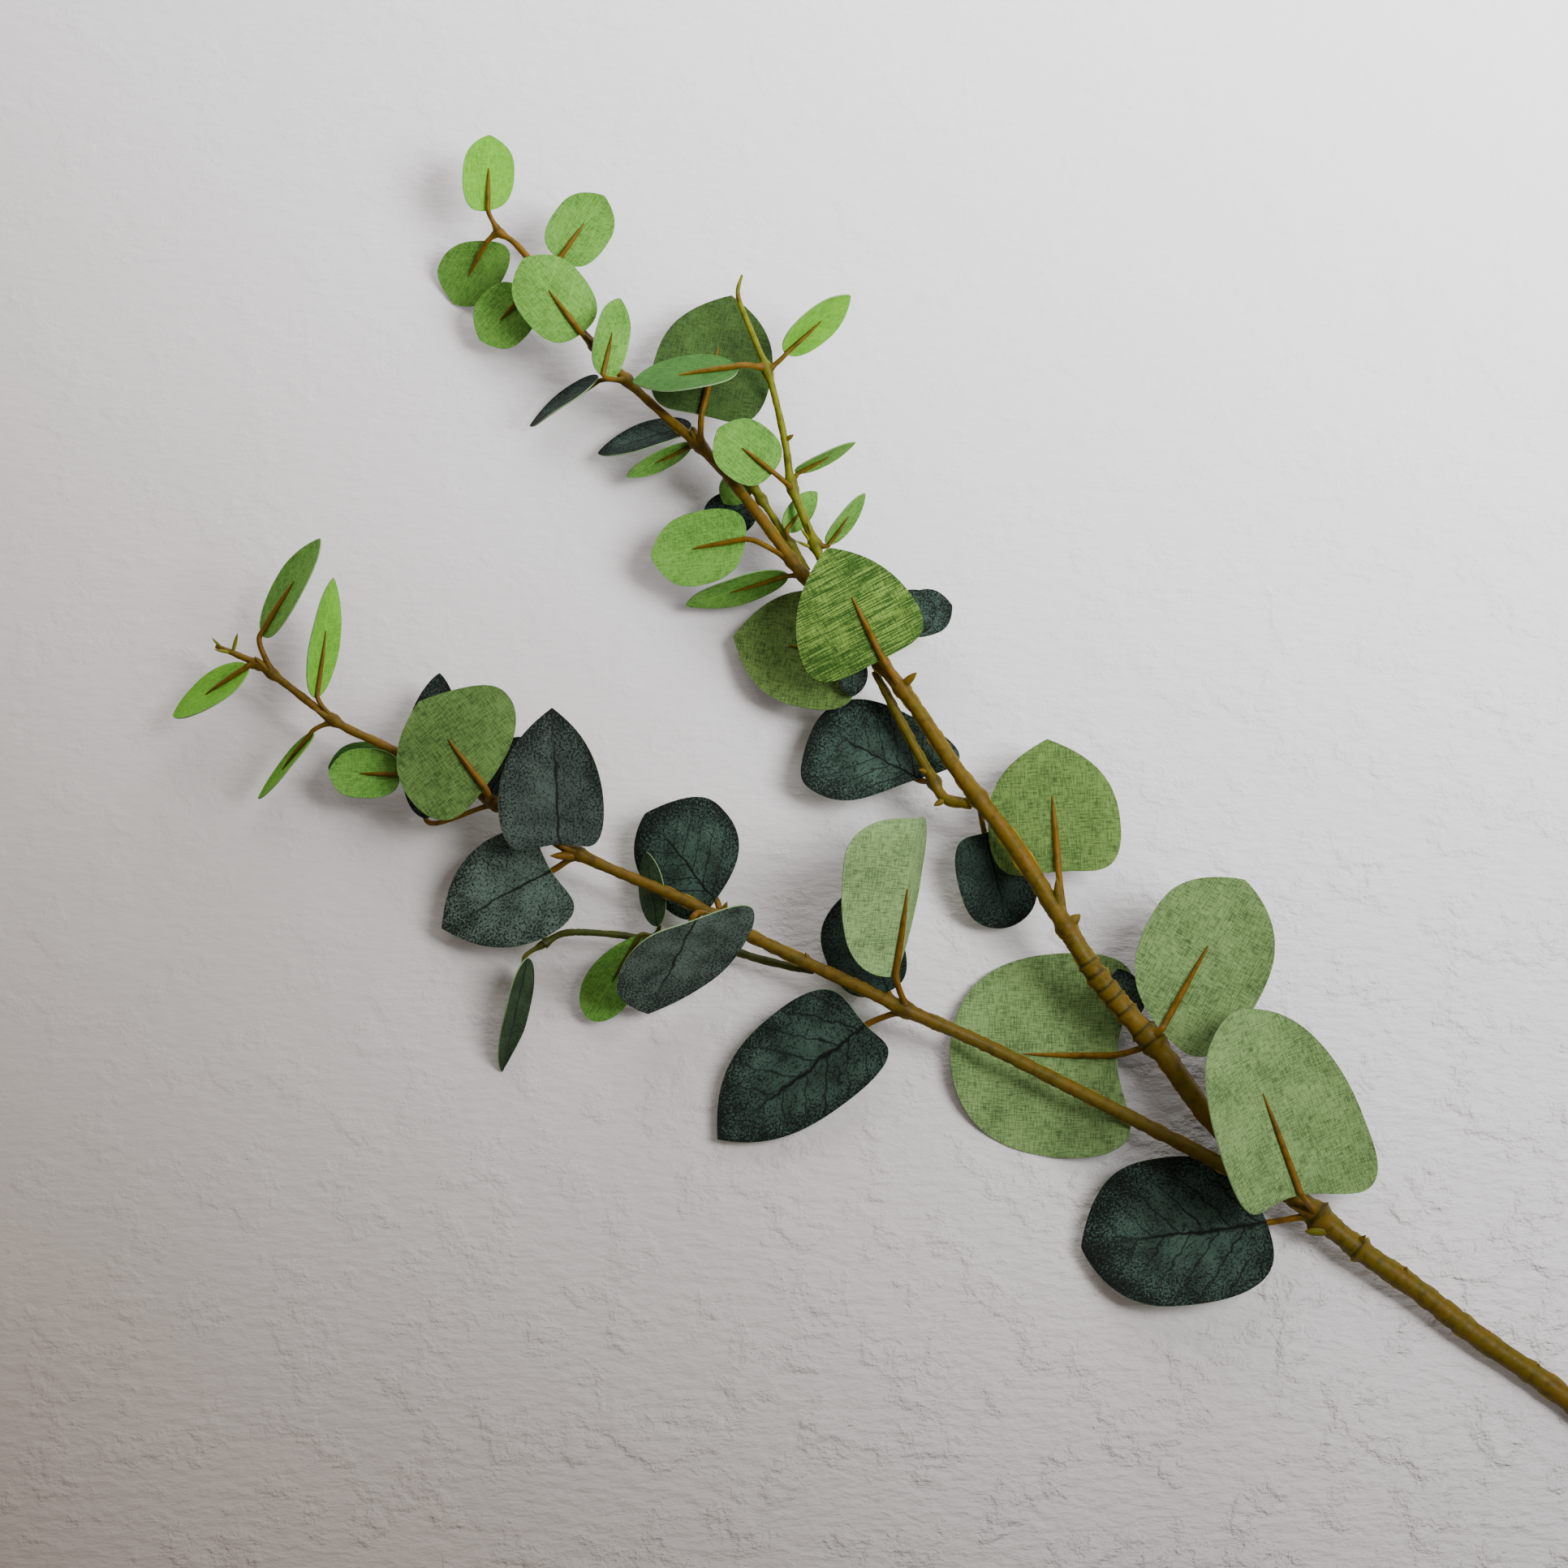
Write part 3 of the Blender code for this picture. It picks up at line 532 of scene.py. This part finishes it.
def threads(tree, cloth, stretch_along, stretch_across):
    """Slubs: threads that are thicker or darker for a few millimetres."""
    stretched = add_node(tree, "Mapping", {"Vector": cloth, "Scale": (stretch_along, stretch_across, 0)})
    slubs = add_node(tree, "TexNoise", {"Vector": stretched, "Scale": 1.0, "Detail": 3.0, "Roughness": 0.65})
    return add_node(tree, "MapRange", [slubs, 0.42, 0.66, 0.0, 1.0])


def vein_lines(tree, cloth, leaf_place, midvein_share, side_share):
    """Veins: a midvein, side veins that leave it forwards, a fan of them round the base, and a net
    of finer ones between. The shares say how strong the midvein and the others are."""
    waver = add_node(tree, "TexNoise", {"Vector": cloth, "Scale": 0.28, "Detail": 3.0}, output="Color")
    waver = add_node(tree, "VectorMath", [waver, (0.5, 0.5, 0.5)], operation="SUBTRACT")
    waver = add_node(tree, "VectorMath", {0: waver, "Scale": 0.07}, operation="SCALE")
    bent = add_node(tree, "VectorMath", [leaf_place, waver], operation="ADD")
    x, y = add_node(tree, "SeparateXYZ", [bent]).node.outputs[:2]
    off = add_node(tree, "Math", [y], operation="ABSOLUTE")
    hand = add_node(tree, "Math", [y], operation="SIGN")
    ahead = add_node(tree, "Math", [x, VEIN_SINE], operation="MULTIPLY")
    ahead = add_node(tree, "Math", [off, -VEIN_COSINE, ahead], operation="MULTIPLY_ADD")
    outward = add_node(tree, "Math", [x, VEIN_COSINE], operation="MULTIPLY")
    outward = add_node(tree, "Math", [off, VEIN_SINE, outward], operation="MULTIPLY_ADD")
    side_veins = add_node(tree, "Math", [ahead, SIDE_VEINS], operation="MULTIPLY")
    side_veins = add_node(tree, "Math", [side_veins, 0.0], operation="MAXIMUM")
    turn = add_node(tree, "Math", [off, x], operation="ARCTAN2")
    fan = add_node(tree, "Math", [turn, -FAN_VEINS, VEIN_ANGLE * FAN_VEINS], operation="MULTIPLY_ADD")
    fan = add_node(tree, "Math", [fan, 0.0], operation="MINIMUM")
    count = add_node(tree, "Math", [side_veins, fan], operation="ADD")
    count = add_node(tree, "Math", [hand, SIDE_STAGGER, count], operation="MULTIPLY_ADD")
    near_vein = add_node(tree, "Math", [count, 0.5], operation="PINGPONG")
    side_line = add_node(tree, "MapRange", [near_vein, 0.02, 0.075, 1.0, 0.0])
    fade = add_node(tree, "MapRange", [outward, 0.1, 0.75, 1.0, 0.6])
    side_line = add_node(tree, "Math", [side_line, fade], operation="MULTIPLY")
    midvein = add_node(tree, "MapRange", [off, 0.005, 0.016, 1.0, 0.0])
    end = add_node(tree, "MapRange", [x, 0.6, 1.0, midvein_share, 0.0])
    midvein = add_node(tree, "Math", [midvein, end], operation="MULTIPLY")
    cells = add_node(tree, "CombineXYZ", [ahead, outward, hand])
    cells = add_node(tree, "Mapping", {"Vector": cells, "Scale": (26, 10, 3)})
    net = add_node(tree, "TexVoronoi", {"Vector": cells, "Scale": 1.0}, feature="DISTANCE_TO_EDGE")
    net = add_node(tree, "MapRange", [net, 0.015, 0.1, 1.0, 0.0])
    worn = add_node(tree, "TexNoise", {"Vector": cloth, "Scale": 0.7, "Detail": 2.0})
    worn = add_node(tree, "MapRange", [worn, 0.45, 0.6, 0.0, 0.8])
    net = add_node(tree, "Math", [net, worn], operation="MULTIPLY")
    veins = add_node(tree, "Math", [side_line, net], operation="MAXIMUM")
    veins = add_node(tree, "Math", [veins, side_share], operation="MULTIPLY")
    return add_node(tree, "Math", [veins, midvein], operation="MAXIMUM")


def printed_cloth(name, ground, pale, ink, crowd_share, speck_share, veining):
    """The printed face: mottled ground, dark veins, and specks that crowd to the edge and tip. The
    shares say how much they crowd to the edge and how many there are in all."""
    material, tree, shader = new_finish(name, 0.75, Specular_IOR_Level=0.15)
    cloth = add_node(tree, "Attribute", output="Vector", attribute_name="cloth")
    leaf_place = add_node(tree, "Attribute", output="Vector", attribute_name="leaf_place")
    edge = add_node(tree, "Attribute", output="Fac", attribute_name="edge")
    mottle = add_node(tree, "TexNoise", {"Vector": cloth, "Scale": 0.13, "Detail": 4.0})
    patches = add_node(tree, "MapRange", [mottle, 0.35, 0.65, 0.0, 1.0])
    body = blend_colours(tree, patches, ground, pale)
    specks = add_node(tree, "TexNoise", {"Vector": cloth, "Scale": 1.6, "Detail": 4.0, "Roughness": 0.8})
    crowd = add_node(tree, "Math", [edge, crowd_share, specks], operation="MULTIPLY_ADD")
    crowd = add_node(tree, "Math", [mottle, -0.15, crowd], operation="MULTIPLY_ADD")
    tipward = add_node(tree, "SeparateXYZ", [leaf_place])
    crowd = add_node(tree, "Math", [tipward, 0.08, crowd], operation="MULTIPLY_ADD")
    crowd = add_node(tree, "Math", [crowd, speck_share], operation="ADD")
    specks = add_node(tree, "MapRange", [crowd, 0.53, 0.57, 0.0, 1.0])
    veins = vein_lines(tree, cloth, leaf_place, 1, veining)
    marks = add_node(tree, "Math", [veins, specks], operation="MAXIMUM")
    body = blend_colours(tree, marks, body, ink)
    tree.links.new(body, shader["Base Color"])
    tree.links.new(cloth_relief(tree, cloth, 0.3), shader["Normal"])
    return material


def dyed_cloth(name, pale, deep, streaks, short=0.3, veining=0.1):
    """The dyed face: threads both ways, darker slubs, and the veins showing through faintly. Streaks
    say how strong the slubs across the leaf are, and short how short they are along it."""
    material, tree, shader = new_finish(name, 0.85, Specular_IOR_Level=0.15)
    cloth = add_node(tree, "Attribute", output="Vector", attribute_name="cloth")
    leaf_place = add_node(tree, "Attribute", output="Vector", attribute_name="leaf_place")
    along = threads(tree, cloth, 0.3, 2.8)
    across = threads(tree, cloth, 2.8, short)
    across = add_node(tree, "Math", [across, streaks], operation="MULTIPLY")
    slubs = add_node(tree, "Math", [along, 0.7, across], operation="MULTIPLY_ADD")
    mottle = add_node(tree, "TexNoise", {"Vector": cloth, "Scale": 0.09, "Detail": 2.0})
    mottle = add_node(tree, "Math", [mottle, 1.2, -0.6], operation="MULTIPLY_ADD")
    slubs = add_node(tree, "Math", [slubs, mottle], operation="ADD", use_clamp=True)
    body = blend_colours(tree, slubs, pale, deep)
    veins = vein_lines(tree, cloth, leaf_place, veining, veining)
    body = blend_colours(tree, veins, body, tone(pale, 1.6))
    tree.links.new(body, shader["Base Color"])
    tree.links.new(cloth_relief(tree, cloth, 0.4), shader["Normal"])
    return material


def cut_blade(name, number, leaf, printed, dyed):
    """A die-cut blade: a grid rounded to a disc, laid on the leaf's surface and given its thickness."""
    columns, rows = BROAD_GRID if leaf.width > BROAD_LEAF else NARROW_GRID
    bpy.ops.mesh.primitive_grid_add(x_subdivisions=columns, y_subdivisions=rows, size=2)
    blade = bpy.context.object
    face, length = blade_axes(leaf)[2:]
    markings = {"cloth": "FLOAT_VECTOR", "leaf_place": "FLOAT_VECTOR", "edge": "FLOAT"}
    for marking, kind in markings.items():
        blade.data.attributes.new(marking, kind, "POINT")
    cloth, leaf_place, edge = [blade.data.attributes[marking].data for marking in markings]
    for vertex in blade.data.vertices:
        x, y = vertex.co.xy
        x, y = x * sqrt(1 - y * y / 2), y * sqrt(1 - x * x / 2)
        point, run, across = blade_point(leaf, x, y)
        rim = min(1, x * x + y * y)
        point += face * WAVE * rim * rim * noise.noise(point / WAVE_LENGTH)
        point.z = max(point.z, TABLE_GAP)
        vertex.co = on_table(point)
        cloth[vertex.index].vector = (length * run + PRINT_STEP * number, across, 0)
        leaf_place[vertex.index].vector = (run, across / length, 0)
        edge[vertex.index].value = rim
    for material in (printed, dyed, cut_edge):
        blade.data.materials.append(material)
    thickness = blade.modifiers.new("Thickness", "SOLIDIFY")
    thickness.thickness = CLOTH * MM
    thickness.offset = 0
    thickness.material_offset = 1
    thickness.material_offset_rim = 2
    bpy.ops.object.modifier_apply(modifier=thickness.name)
    bpy.ops.object.shade_smooth_by_angle(angle=radians(50))
    blade.name = "cloth_" + name
    blade.select_set(False)
    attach(blade, "root")
    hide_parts(name)


def cut_leaves(stem_name, leaves, first_number, prints, finishes):
    """The blades of one stem, each with its printed and its dyed cloth."""
    for number, (leaf, printed, dyed) in enumerate(zip(leaves, prints, finishes), 1):
        cut_blade(f"{stem_name}_leaf_{number:02d}", first_number + number, leaf, printed, dyed)


cut_edge, tree, shader = new_finish("frayed_cut_edge", 0.8)
fray = add_node(tree, "TexNoise", {"Vector": add_node(tree, "TexCoord", output="Object"), "Scale": 1800.0})
fray = blend_colours(tree, fray, dye(82, 112, 68), dye(128, 154, 104))
tree.links.new(fray, shader["Base Color"])

teal_print = printed_cloth(
    "teal_printed_cloth", ground=dye(39, 55, 45), pale=dye(59, 80, 69), ink=dye(6, 12, 9),
    crowd_share=0.12, speck_share=0.01, veining=1,
)
night_print = printed_cloth(
    "night_printed_cloth", ground=dye(30, 48, 37), pale=dye(44, 63, 53), ink=dye(6, 11, 8),
    crowd_share=0.1, speck_share=0.02, veining=0.6,
)
slate_print = printed_cloth(
    "slate_printed_cloth", ground=dye(68, 84, 75), pale=dye(89, 107, 97), ink=dye(18, 25, 18),
    crowd_share=0.05, speck_share=0.05, veining=0.5,
)
dusk_print = printed_cloth(
    "dusk_printed_cloth", ground=dye(46, 57, 51), pale=dye(63, 76, 68), ink=dye(12, 18, 13),
    crowd_share=0.06, speck_share=0.05, veining=0.35,
)
fern_print = printed_cloth(
    "fern_printed_cloth", ground=dye(34, 50, 32), pale=dye(50, 70, 44), ink=dye(16, 27, 13),
    crowd_share=0.03, speck_share=0.02, veining=0.3,
)
pale_sage = dyed_cloth("pale_sage_cloth", dye(134, 164, 104), dye(76, 98, 58), 0.7)
sage = dyed_cloth("sage_cloth", dye(118, 146, 88), dye(66, 86, 48), 0.7)
grass = dyed_cloth("grass_green_cloth", dye(98, 124, 62), dye(48, 70, 30), 0.7)
streaked = dyed_cloth("streaked_cloth", dye(116, 146, 62), dye(38, 68, 20), 1.6, short=0.09)
moss = dyed_cloth("moss_green_cloth", dye(88, 116, 58), dye(44, 66, 28), 0.7)
fern = dyed_cloth("fern_green_cloth", dye(57, 83, 35), dye(29, 45, 16), 0.7)
lime = dyed_cloth("lime_green_cloth", dye(102, 150, 62), dye(58, 100, 32), 0.5, veining=0.3)
fresh = dyed_cloth("fresh_green_cloth", dye(104, 163, 46), dye(72, 124, 28), 0.4, veining=0.3)
mint = dyed_cloth("mint_green_cloth", dye(64, 106, 46), dye(37, 71, 27), 0.4, veining=0.3)

main_prints = [teal_print] * 6 + [night_print] + [teal_print] * 17
cut_leaves("main_stem", MAIN_STEM_LEAVES, 0, main_prints, (
    sage, sage, sage, sage, sage, grass, sage, streaked, grass, moss, moss, moss, lime, lime,
    fern, moss, lime, lime, moss, lime, lime, lime, fresh, lime,
))

# Left branch
# A second moulding of the same plastic, a warmer batch, pushed on at the fork, with sixteen leaves.
LEFT_BRANCH_ROUTE = (
    (131, -110.5, 15, 1.9), (116, -102, 13.5, 1.85), (98, -92.5, 11.5, 1.8), (77.5, -82, 10.5, 1.75),
    (57.5, -72, 11.5, 1.7), (45, -66.5, 14, 1.7), (33, -61.5, 16, 1.7), (18.5, -54.5, 17, 1.65),
    (5.5, -48.5, 17, 1.6), (-9, -41.5, 17, 1.6), (-25.5, -32.5, 17, 1.5), (-52, -21, 17, 1.4),
    (-66, -13, 17, 1.4), (-79, -5, 17, 1.3), (-89, 1, 17, 1.2), (-109, 10.5, 17.5, 1.1),
    (-122, 17, 18, 1), (-140, 30.5, 19, 0.85), (-149, 35, 20, 0.75), (-154, 37, 20.5, 0.5),
)
LEFT_BRANCH_BUDS = (
    ((33, -62.5), (-0.9, 0.25, 0.1), 6.5, 1.3, 0.5),
    ((-17, -36.5), (0.4, 0.9, 0.3), 5, 0.9),
    ((-55, -20.5), (-1, -0.05, 0.15), 8.5, 1.25, 0.6),
    ((7, -49.5), (-0.4, 0.9, 0.2), 3.5, 0.8),
    ((-122, 17.5), (-0.9, 0.5, 0.2), 6, 0.9),
    ((-139, 31), (-0.7, 0.7, 0.3), 5.5, 0.9),
    ((-149.5, 35.2), (0.3, 0.9, 0.3), 5.5, 0.55, -1),
    ((-149.5, 35.2), (-0.9, 0.1, 0.3), 5, 0.5, -1),
    ((-152, 37), (-0.7, 0.7, 0.4), 4, 0.4, -1),
)
LEFT_BRANCH_LEAVES = (
    Leaf((33, -61.5), (29, -53, 20.5), (35.5, -12, 34.5), 36, 128, 0, 26, 0, PADDLE, 0, -0.08),
    Leaf((33, -61.5), (28, -56, 10), (17.5, -28.5, 5.5), 21.5, 8, 0, 4, 0, ROUND, 0, 0.16),
    Leaf((32, -62), (22, -65, 11), (-18, -95.5, 3.5), 31, 0, 10, 0, -2, DROP, -0.1, -0.14),
    Leaf((-17, -37), (-23.5, -39, 35), (-37, -61.5, 5), 35, 48, 5, 0, 0, DROP, -0.4, 0.08),
    Leaf((-17, -37), (-18.5, -31.5, 14), (-37.7, -7.5, 11), 30, 15, -6, -4, 0, ROUND, -0.25, -0.14),
    Leaf((-56, -20), (-63, -23.5, 14), (-93, -38.5, 7), 31, 0, 8, 0, 0, OGIVE, -0.1),
    Leaf((-56, -20), (-60.3, -17.2, 21), (-62.5, 19.5, 24), 28.5, 0, 10, 0, 0, OGIVE, 0, 0.12),
    Leaf((-79, -5), (-80.5, -2, 22.3), (-98.5, 21.5, 22), 38, 180, 6, 0, 0, SQUARE, 0.3, 0.06),
    Leaf((-79, -5), (-80, -3, 14), (-71.5, 13.2, 13), 14, 20, 8, 0, 0, OVAL),
    Leaf((-78, -6), (-98, -8.5, 8.3), (-94, 31, 12), 15.5, 0, 5, 0, 0, OVAL),
    Leaf((-101, 6), (-104, 2.5, 15), (-124, 3.5, 12), 14, 180, -20, 0, 0, ROUND),
    Leaf((-100, 6), (-104.5, 5.5, 10), (-124.5, 5.5, 8), 14, 180, -15, 0, 0, ROUND),
    Leaf((-122, 17), (-127.2, 23, 19), (-122.2, 55.5, 22), 12, 122, -10, 0, 0, OVAL),
    Leaf((-122, 17), (-127.5, 13.5, 16), (-143.5, -3, 7), 13, 115, -10, 0, 0, OVAL),
    Leaf((-139, 30), (-141.2, 39.5, 21), (-125.3, 65.3, 27), 20, 234, -10, 0, 0, OVAL),
    Leaf((-143, 31.5), (-145, 31, 19), (-166.5, 19, 13), 18, 130, -10, 0, 0, OVAL),
)
amber_plastic = moulded_plastic("mustard_plastic", dye(82, 69, 9), dye(99, 68, 9), dye(142, 121, 42))
mould_stem(
    "left_branch", LEFT_BRANCH_ROUTE, LEFT_BRANCH_LEAVES, LEFT_BRANCH_BUDS, amber_plastic,
    warmth=(-0.1, 0.5),
)
left_prints = [night_print, night_print, teal_print, slate_print, teal_print, slate_print] + [dusk_print] * 10
cut_leaves("left_branch", LEFT_BRANCH_LEAVES, 24, left_prints, (
    pale_sage, lime, sage, sage, sage, moss, moss, moss, moss, moss, lime, mint, fresh, fresh, lime, fresh,
))

# Upper twig
# A small moulding pushed against the main stem under the topmost broad leaf, with five small leaves.
UPPER_TWIG_ROUTE = (
    (13.4, 52.1, 20.4, 1.1), (11, 58, 20.8, 1.1), (8.4, 65, 21, 1.1), (5.5, 72, 21.5, 1.05), (2, 81.5, 22, 1),
    (0.5, 91.5, 24, 0.95), (-2, 103, 25, 0.9), (-4.5, 112, 26, 0.85), (-8.5, 122, 26, 0.75),
    (-12.5, 133, 25.5, 0.6), (-11.5, 139, 26, 0.3),
)
UPPER_TWIG_BUDS = (
    ((-11, 131), (-0.3, 0.9, 0.2), 3.5, 0.5),
    ((0.4, 93), (0.8, 0.5, 0.3), 3, 0.7),
    ((9, 63.5), (-0.62, 0.78, 0.1), 8, 0.5, -1),
    ((9, 63.5), (-0.93, 0.35, 0.1), 6.5, 0.5, -1),
    ((8.5, 65), (-0.35, 0.93, 0.3), 7, 0.45, -1),
)
UPPER_TWIG_LEAVES = (
    Leaf((-5, 113), (-12.5, 111.5, 30), (-41, 108, 30), 23, 128, -10, 0, 0, OVAL),
    Leaf((-4.5, 112), (0, 117, 27), (18, 132.5, 29), 14, 120, -10, 0, 0, OVAL),
    Leaf((2.5, 80), (-3, 83.5, 27), (-18, 95.5, 28), 17, 180, -5, 0, 0, ROUND),
    Leaf((2, 82), (3, 85, 21), (19.5, 92.5, 24), 8, 105, -10, 0, 0, OVAL),
    Leaf((6.5, 64), (11.5, 65, 21), (22, 78.5, 24), 9, 115, -10, 0, 0, OVAL),
)
mould_stem(
    "upper_twig", UPPER_TWIG_ROUTE, UPPER_TWIG_LEAVES, UPPER_TWIG_BUDS, olive_plastic,
    warmth=(-0.5, -0.6),
)
cut_leaves("upper_twig", UPPER_TWIG_LEAVES, 40, [teal_print] * 5, (mint, fresh, lime, lime, lime))

# Inner twig
# A short moulding pushed against the main stem beside the upper twig, with three small leaves.
INNER_TWIG_ROUTE = (
    (6.4, 58.4, 17.2, 0.95), (1.5, 66.2, 16, 0.95), (-2.6, 73, 16, 0.9), (-6.2, 78.6, 16, 0.85),
    (-9.1, 83, 16, 0.7),
)
INNER_TWIG_LEAVES = (
    Leaf((1.5, 66.2), (0.1, 69.7, 17.9), (9.1, 81, 14), 8.5, 140, -5, 0, 0, OVAL),
    Leaf((-6, 78.5), (-8, 78, 12.5), (-22.6, 73, 7), 13, 0, 8, 0, 0, ROUND),
    Leaf((-8, 82), (-9.5, 87, 15.5), (-16.5, 78.5, 11), 9, 180, 0, 0, 0, ROUND),
)
mould_stem("inner_twig", INNER_TWIG_ROUTE, INNER_TWIG_LEAVES, (), olive_plastic, warmth=(-0.5, -0.6))
cut_leaves("inner_twig", INNER_TWIG_LEAVES, 45, [teal_print] * 3, [lime] * 3)

# Ragged twig
# A short side moulding with ragged flash at its root, pushed against the main stem, with one leaf.
RAGGED_TWIG_ROUTE = (
    (50.6, -6.2, 20.4, 1.3), (43.5, -4.5, 19, 1.35), (39.5, 2, 18.5, 1.2), (32.5, 15, 18.5, 1.15),
    (28, 24, 18, 1.1), (24.5, 30.5, 17.5, 0.8),
)
RAGGED_TWIG_BUDS = (
    ((44, -4), (-0.8, -0.5, 0.2), 4, 0.9),
    ((38.7, 2.4), (-0.9, 0.2, 0.3), 3, 0.8),
)
RAGGED_TWIG_LEAVES = (Leaf((40.5, 0), (36.5, 1.6, 13.2), (8.5, 17.5, 9), 31, 0, 6, 0, 0, BLUNT, 0.95, 0.08),)
mould_stem("ragged_twig", RAGGED_TWIG_ROUTE, RAGGED_TWIG_LEAVES, RAGGED_TWIG_BUDS, olive_plastic)
cut_leaves("ragged_twig", RAGGED_TWIG_LEAVES, 48, [teal_print], [moss])

# Lower twig
# A slender moulding pushed against the left branch from below, with three narrow leaves.
LOWER_TWIG_ROUTE = (
    (8, -50.5, 14.5, 1), (2.5, -49.5, 12, 1), (-7, -47, 9.5, 1), (-13.5, -45, 9, 1),
    (-22, -44, 8.5, 0.95), (-35.5, -42, 8.5, 0.9), (-45, -40.5, 9.5, 0.85), (-58.5, -40, 10.5, 0.85),
    (-65, -43, 10.8, 0.8),
)
LOWER_TWIG_LEAVES = (
    Leaf((-33, -42), (-38.5, -40.5, 13), (-53, -63, 4), 14, 180, -20, 0, 0, SPOON),
    Leaf((-65, -43), (-69.4, -47, 12), (-76.8, -77, 0.3), 11.5, 62, 10, 0, 0, OVAL),
    Leaf((-36, -42), (-34.2, -38.5, 12.3), (-37.5, -18, 11), 8.5, 35, 5, 0, 0, OVAL),
)
fern_plastic = moulded_plastic("dark_green_plastic", dye(50, 58, 14), dye(76, 70, 16), dye(120, 124, 44))
mould_stem("lower_twig", LOWER_TWIG_ROUTE, LOWER_TWIG_LEAVES, (), fern_plastic)
cut_leaves("lower_twig", LOWER_TWIG_LEAVES, 49, [fern_print] * 3, (lime, moss, fern))

# Floor
# The surface that the spray lies on: plaster painted pale grey and mottled, with painted shade that darkens
# and warms it towards the near left, and with the low relief of the trowel. It is 40 m wide, and lies 0.1 mm
# under the spray.
FLOOR_WIDTH = 40
FLOOR_DROP = 0.1
bpy.ops.mesh.primitive_plane_add(size=FLOOR_WIDTH, location=(0, 0, -FLOOR_DROP * MM))
floor = bpy.context.object
floor.name = "painted_plaster"
plaster, tree, shader = new_finish("painted_plaster", 0.7)
place = add_node(tree, "TexCoord", output="Object")
turned = add_node(tree, "Mapping", {"Vector": place, "Rotation": (0, 0, -LAYOUT_TURN)})
across, away = add_node(tree, "SeparateXYZ", [turned]).node.outputs[:2]
# Painted shade: the paint darkens and warms towards the near left, mottled at random by the clouds.
painted_shade_and_mottle = add_node(tree, "Math", [across, away], operation="ADD")
painted_shade_and_mottle = add_node(tree, "MapRange", [painted_shade_and_mottle, -0.4, 0.12, 0.0, 1.0])
clouds = add_node(tree, "TexNoise", {"Vector": place, "Scale": 9.0, "Detail": 3.0})
painted_shade_and_mottle = add_node(tree, "Math", [clouds, 0.3, painted_shade_and_mottle], operation="MULTIPLY_ADD", use_clamp=True)
paint = blend_colours(tree, painted_shade_and_mottle, dye(176, 162, 151), dye(214, 210, 211))
tree.links.new(paint, shader["Base Color"])
ridges = add_node(tree, "Mapping", {"Vector": turned, "Scale": (150, 330, 1)})
ridges = add_node(tree, "TexNoise", {"Vector": ridges, "Scale": 1.0, "Detail": 4.0, "Roughness": 0.55})
roughcast = add_node(tree, "Math", [across, -0.6, away], operation="MULTIPLY_ADD")
roughcast = add_node(tree, "MapRange", [roughcast, -0.2, 0.15, 1.0, 0.2])
lumps = add_node(tree, "TexNoise", {"Vector": turned, "Scale": 60.0, "Detail": 6.0, "Roughness": 0.6})
lumps = add_node(tree, "MapRange", [lumps, 0.5, 0.62, 0.0, 1.0], interpolation_type="SMOOTHSTEP")
relief = add_node(tree, "Bump", {"Strength": roughcast, "Distance": 1.6 * MM, "Height": ridges})
relief = add_node(
    tree, "Bump", {"Strength": roughcast, "Distance": 0.7 * MM, "Height": lumps, "Normal": relief},
)
tree.links.new(relief, shader["Normal"])
floor.data.materials.append(plaster)

# Studio light
# A soft light from the right, aimed at the far right of the table so that it fades towards the near
# left, a weaker one from beyond the tips that fills the shadows, and warm light from all round.


def hang_light(place, aim, power, size, spread):
    """A square soft light at a place of the layout, facing another."""
    bpy.ops.object.light_add(type="AREA")
    lamp = bpy.context.object
    lamp.data.energy = power
    lamp.data.size = size
    lamp.data.spread = spread
    facing = (Vector(aim) - Vector(place)).to_track_quat("-Z", "Y").to_matrix().to_4x4()
    lamp.matrix_world = LAYOUT @ Matrix.Translation(Vector(place) * MM) @ facing
    return lamp


key = hang_light((630, 165, 766), aim=(320, 390, 0), power=8.8, size=0.55, spread=radians(84))
key.data.color = (0.97, 0.99, 1.0)
hang_light((0, 450, 250), aim=(0, 0, 0), power=3, size=0.5, spread=radians(180))
world = bpy.data.worlds.new("studio")
world.use_nodes = True
background = world.node_tree.nodes["Background"].inputs
background["Color"].default_value = (1, 0.9, 0.81, 1)
background["Strength"].default_value = 0.3
bpy.context.scene.world = world

# Camera
# It looks down from above, tilted 8 degrees, and takes in 425 mm of the table. Its film is 36 mm wide.
TILT = radians(8)
LENS = 85.0
HALF_FILM = 18
VIEW_WIDTH = 425.0
AIM_HEIGHT = 15
distance = VIEW_WIDTH / 2 / tan(atan(HALF_FILM / LENS))
eye = Vector((0, 0, AIM_HEIGHT)) + Vector((0, -sin(TILT), cos(TILT))) * distance
bpy.ops.object.camera_add()
camera = bpy.context.object
camera.data.lens = LENS
camera.data.clip_start = 0.01
camera.matrix_world = LAYOUT @ Matrix.Translation(eye * MM) @ Matrix.Rotation(TILT, 4, "X")
bpy.context.scene.camera = camera
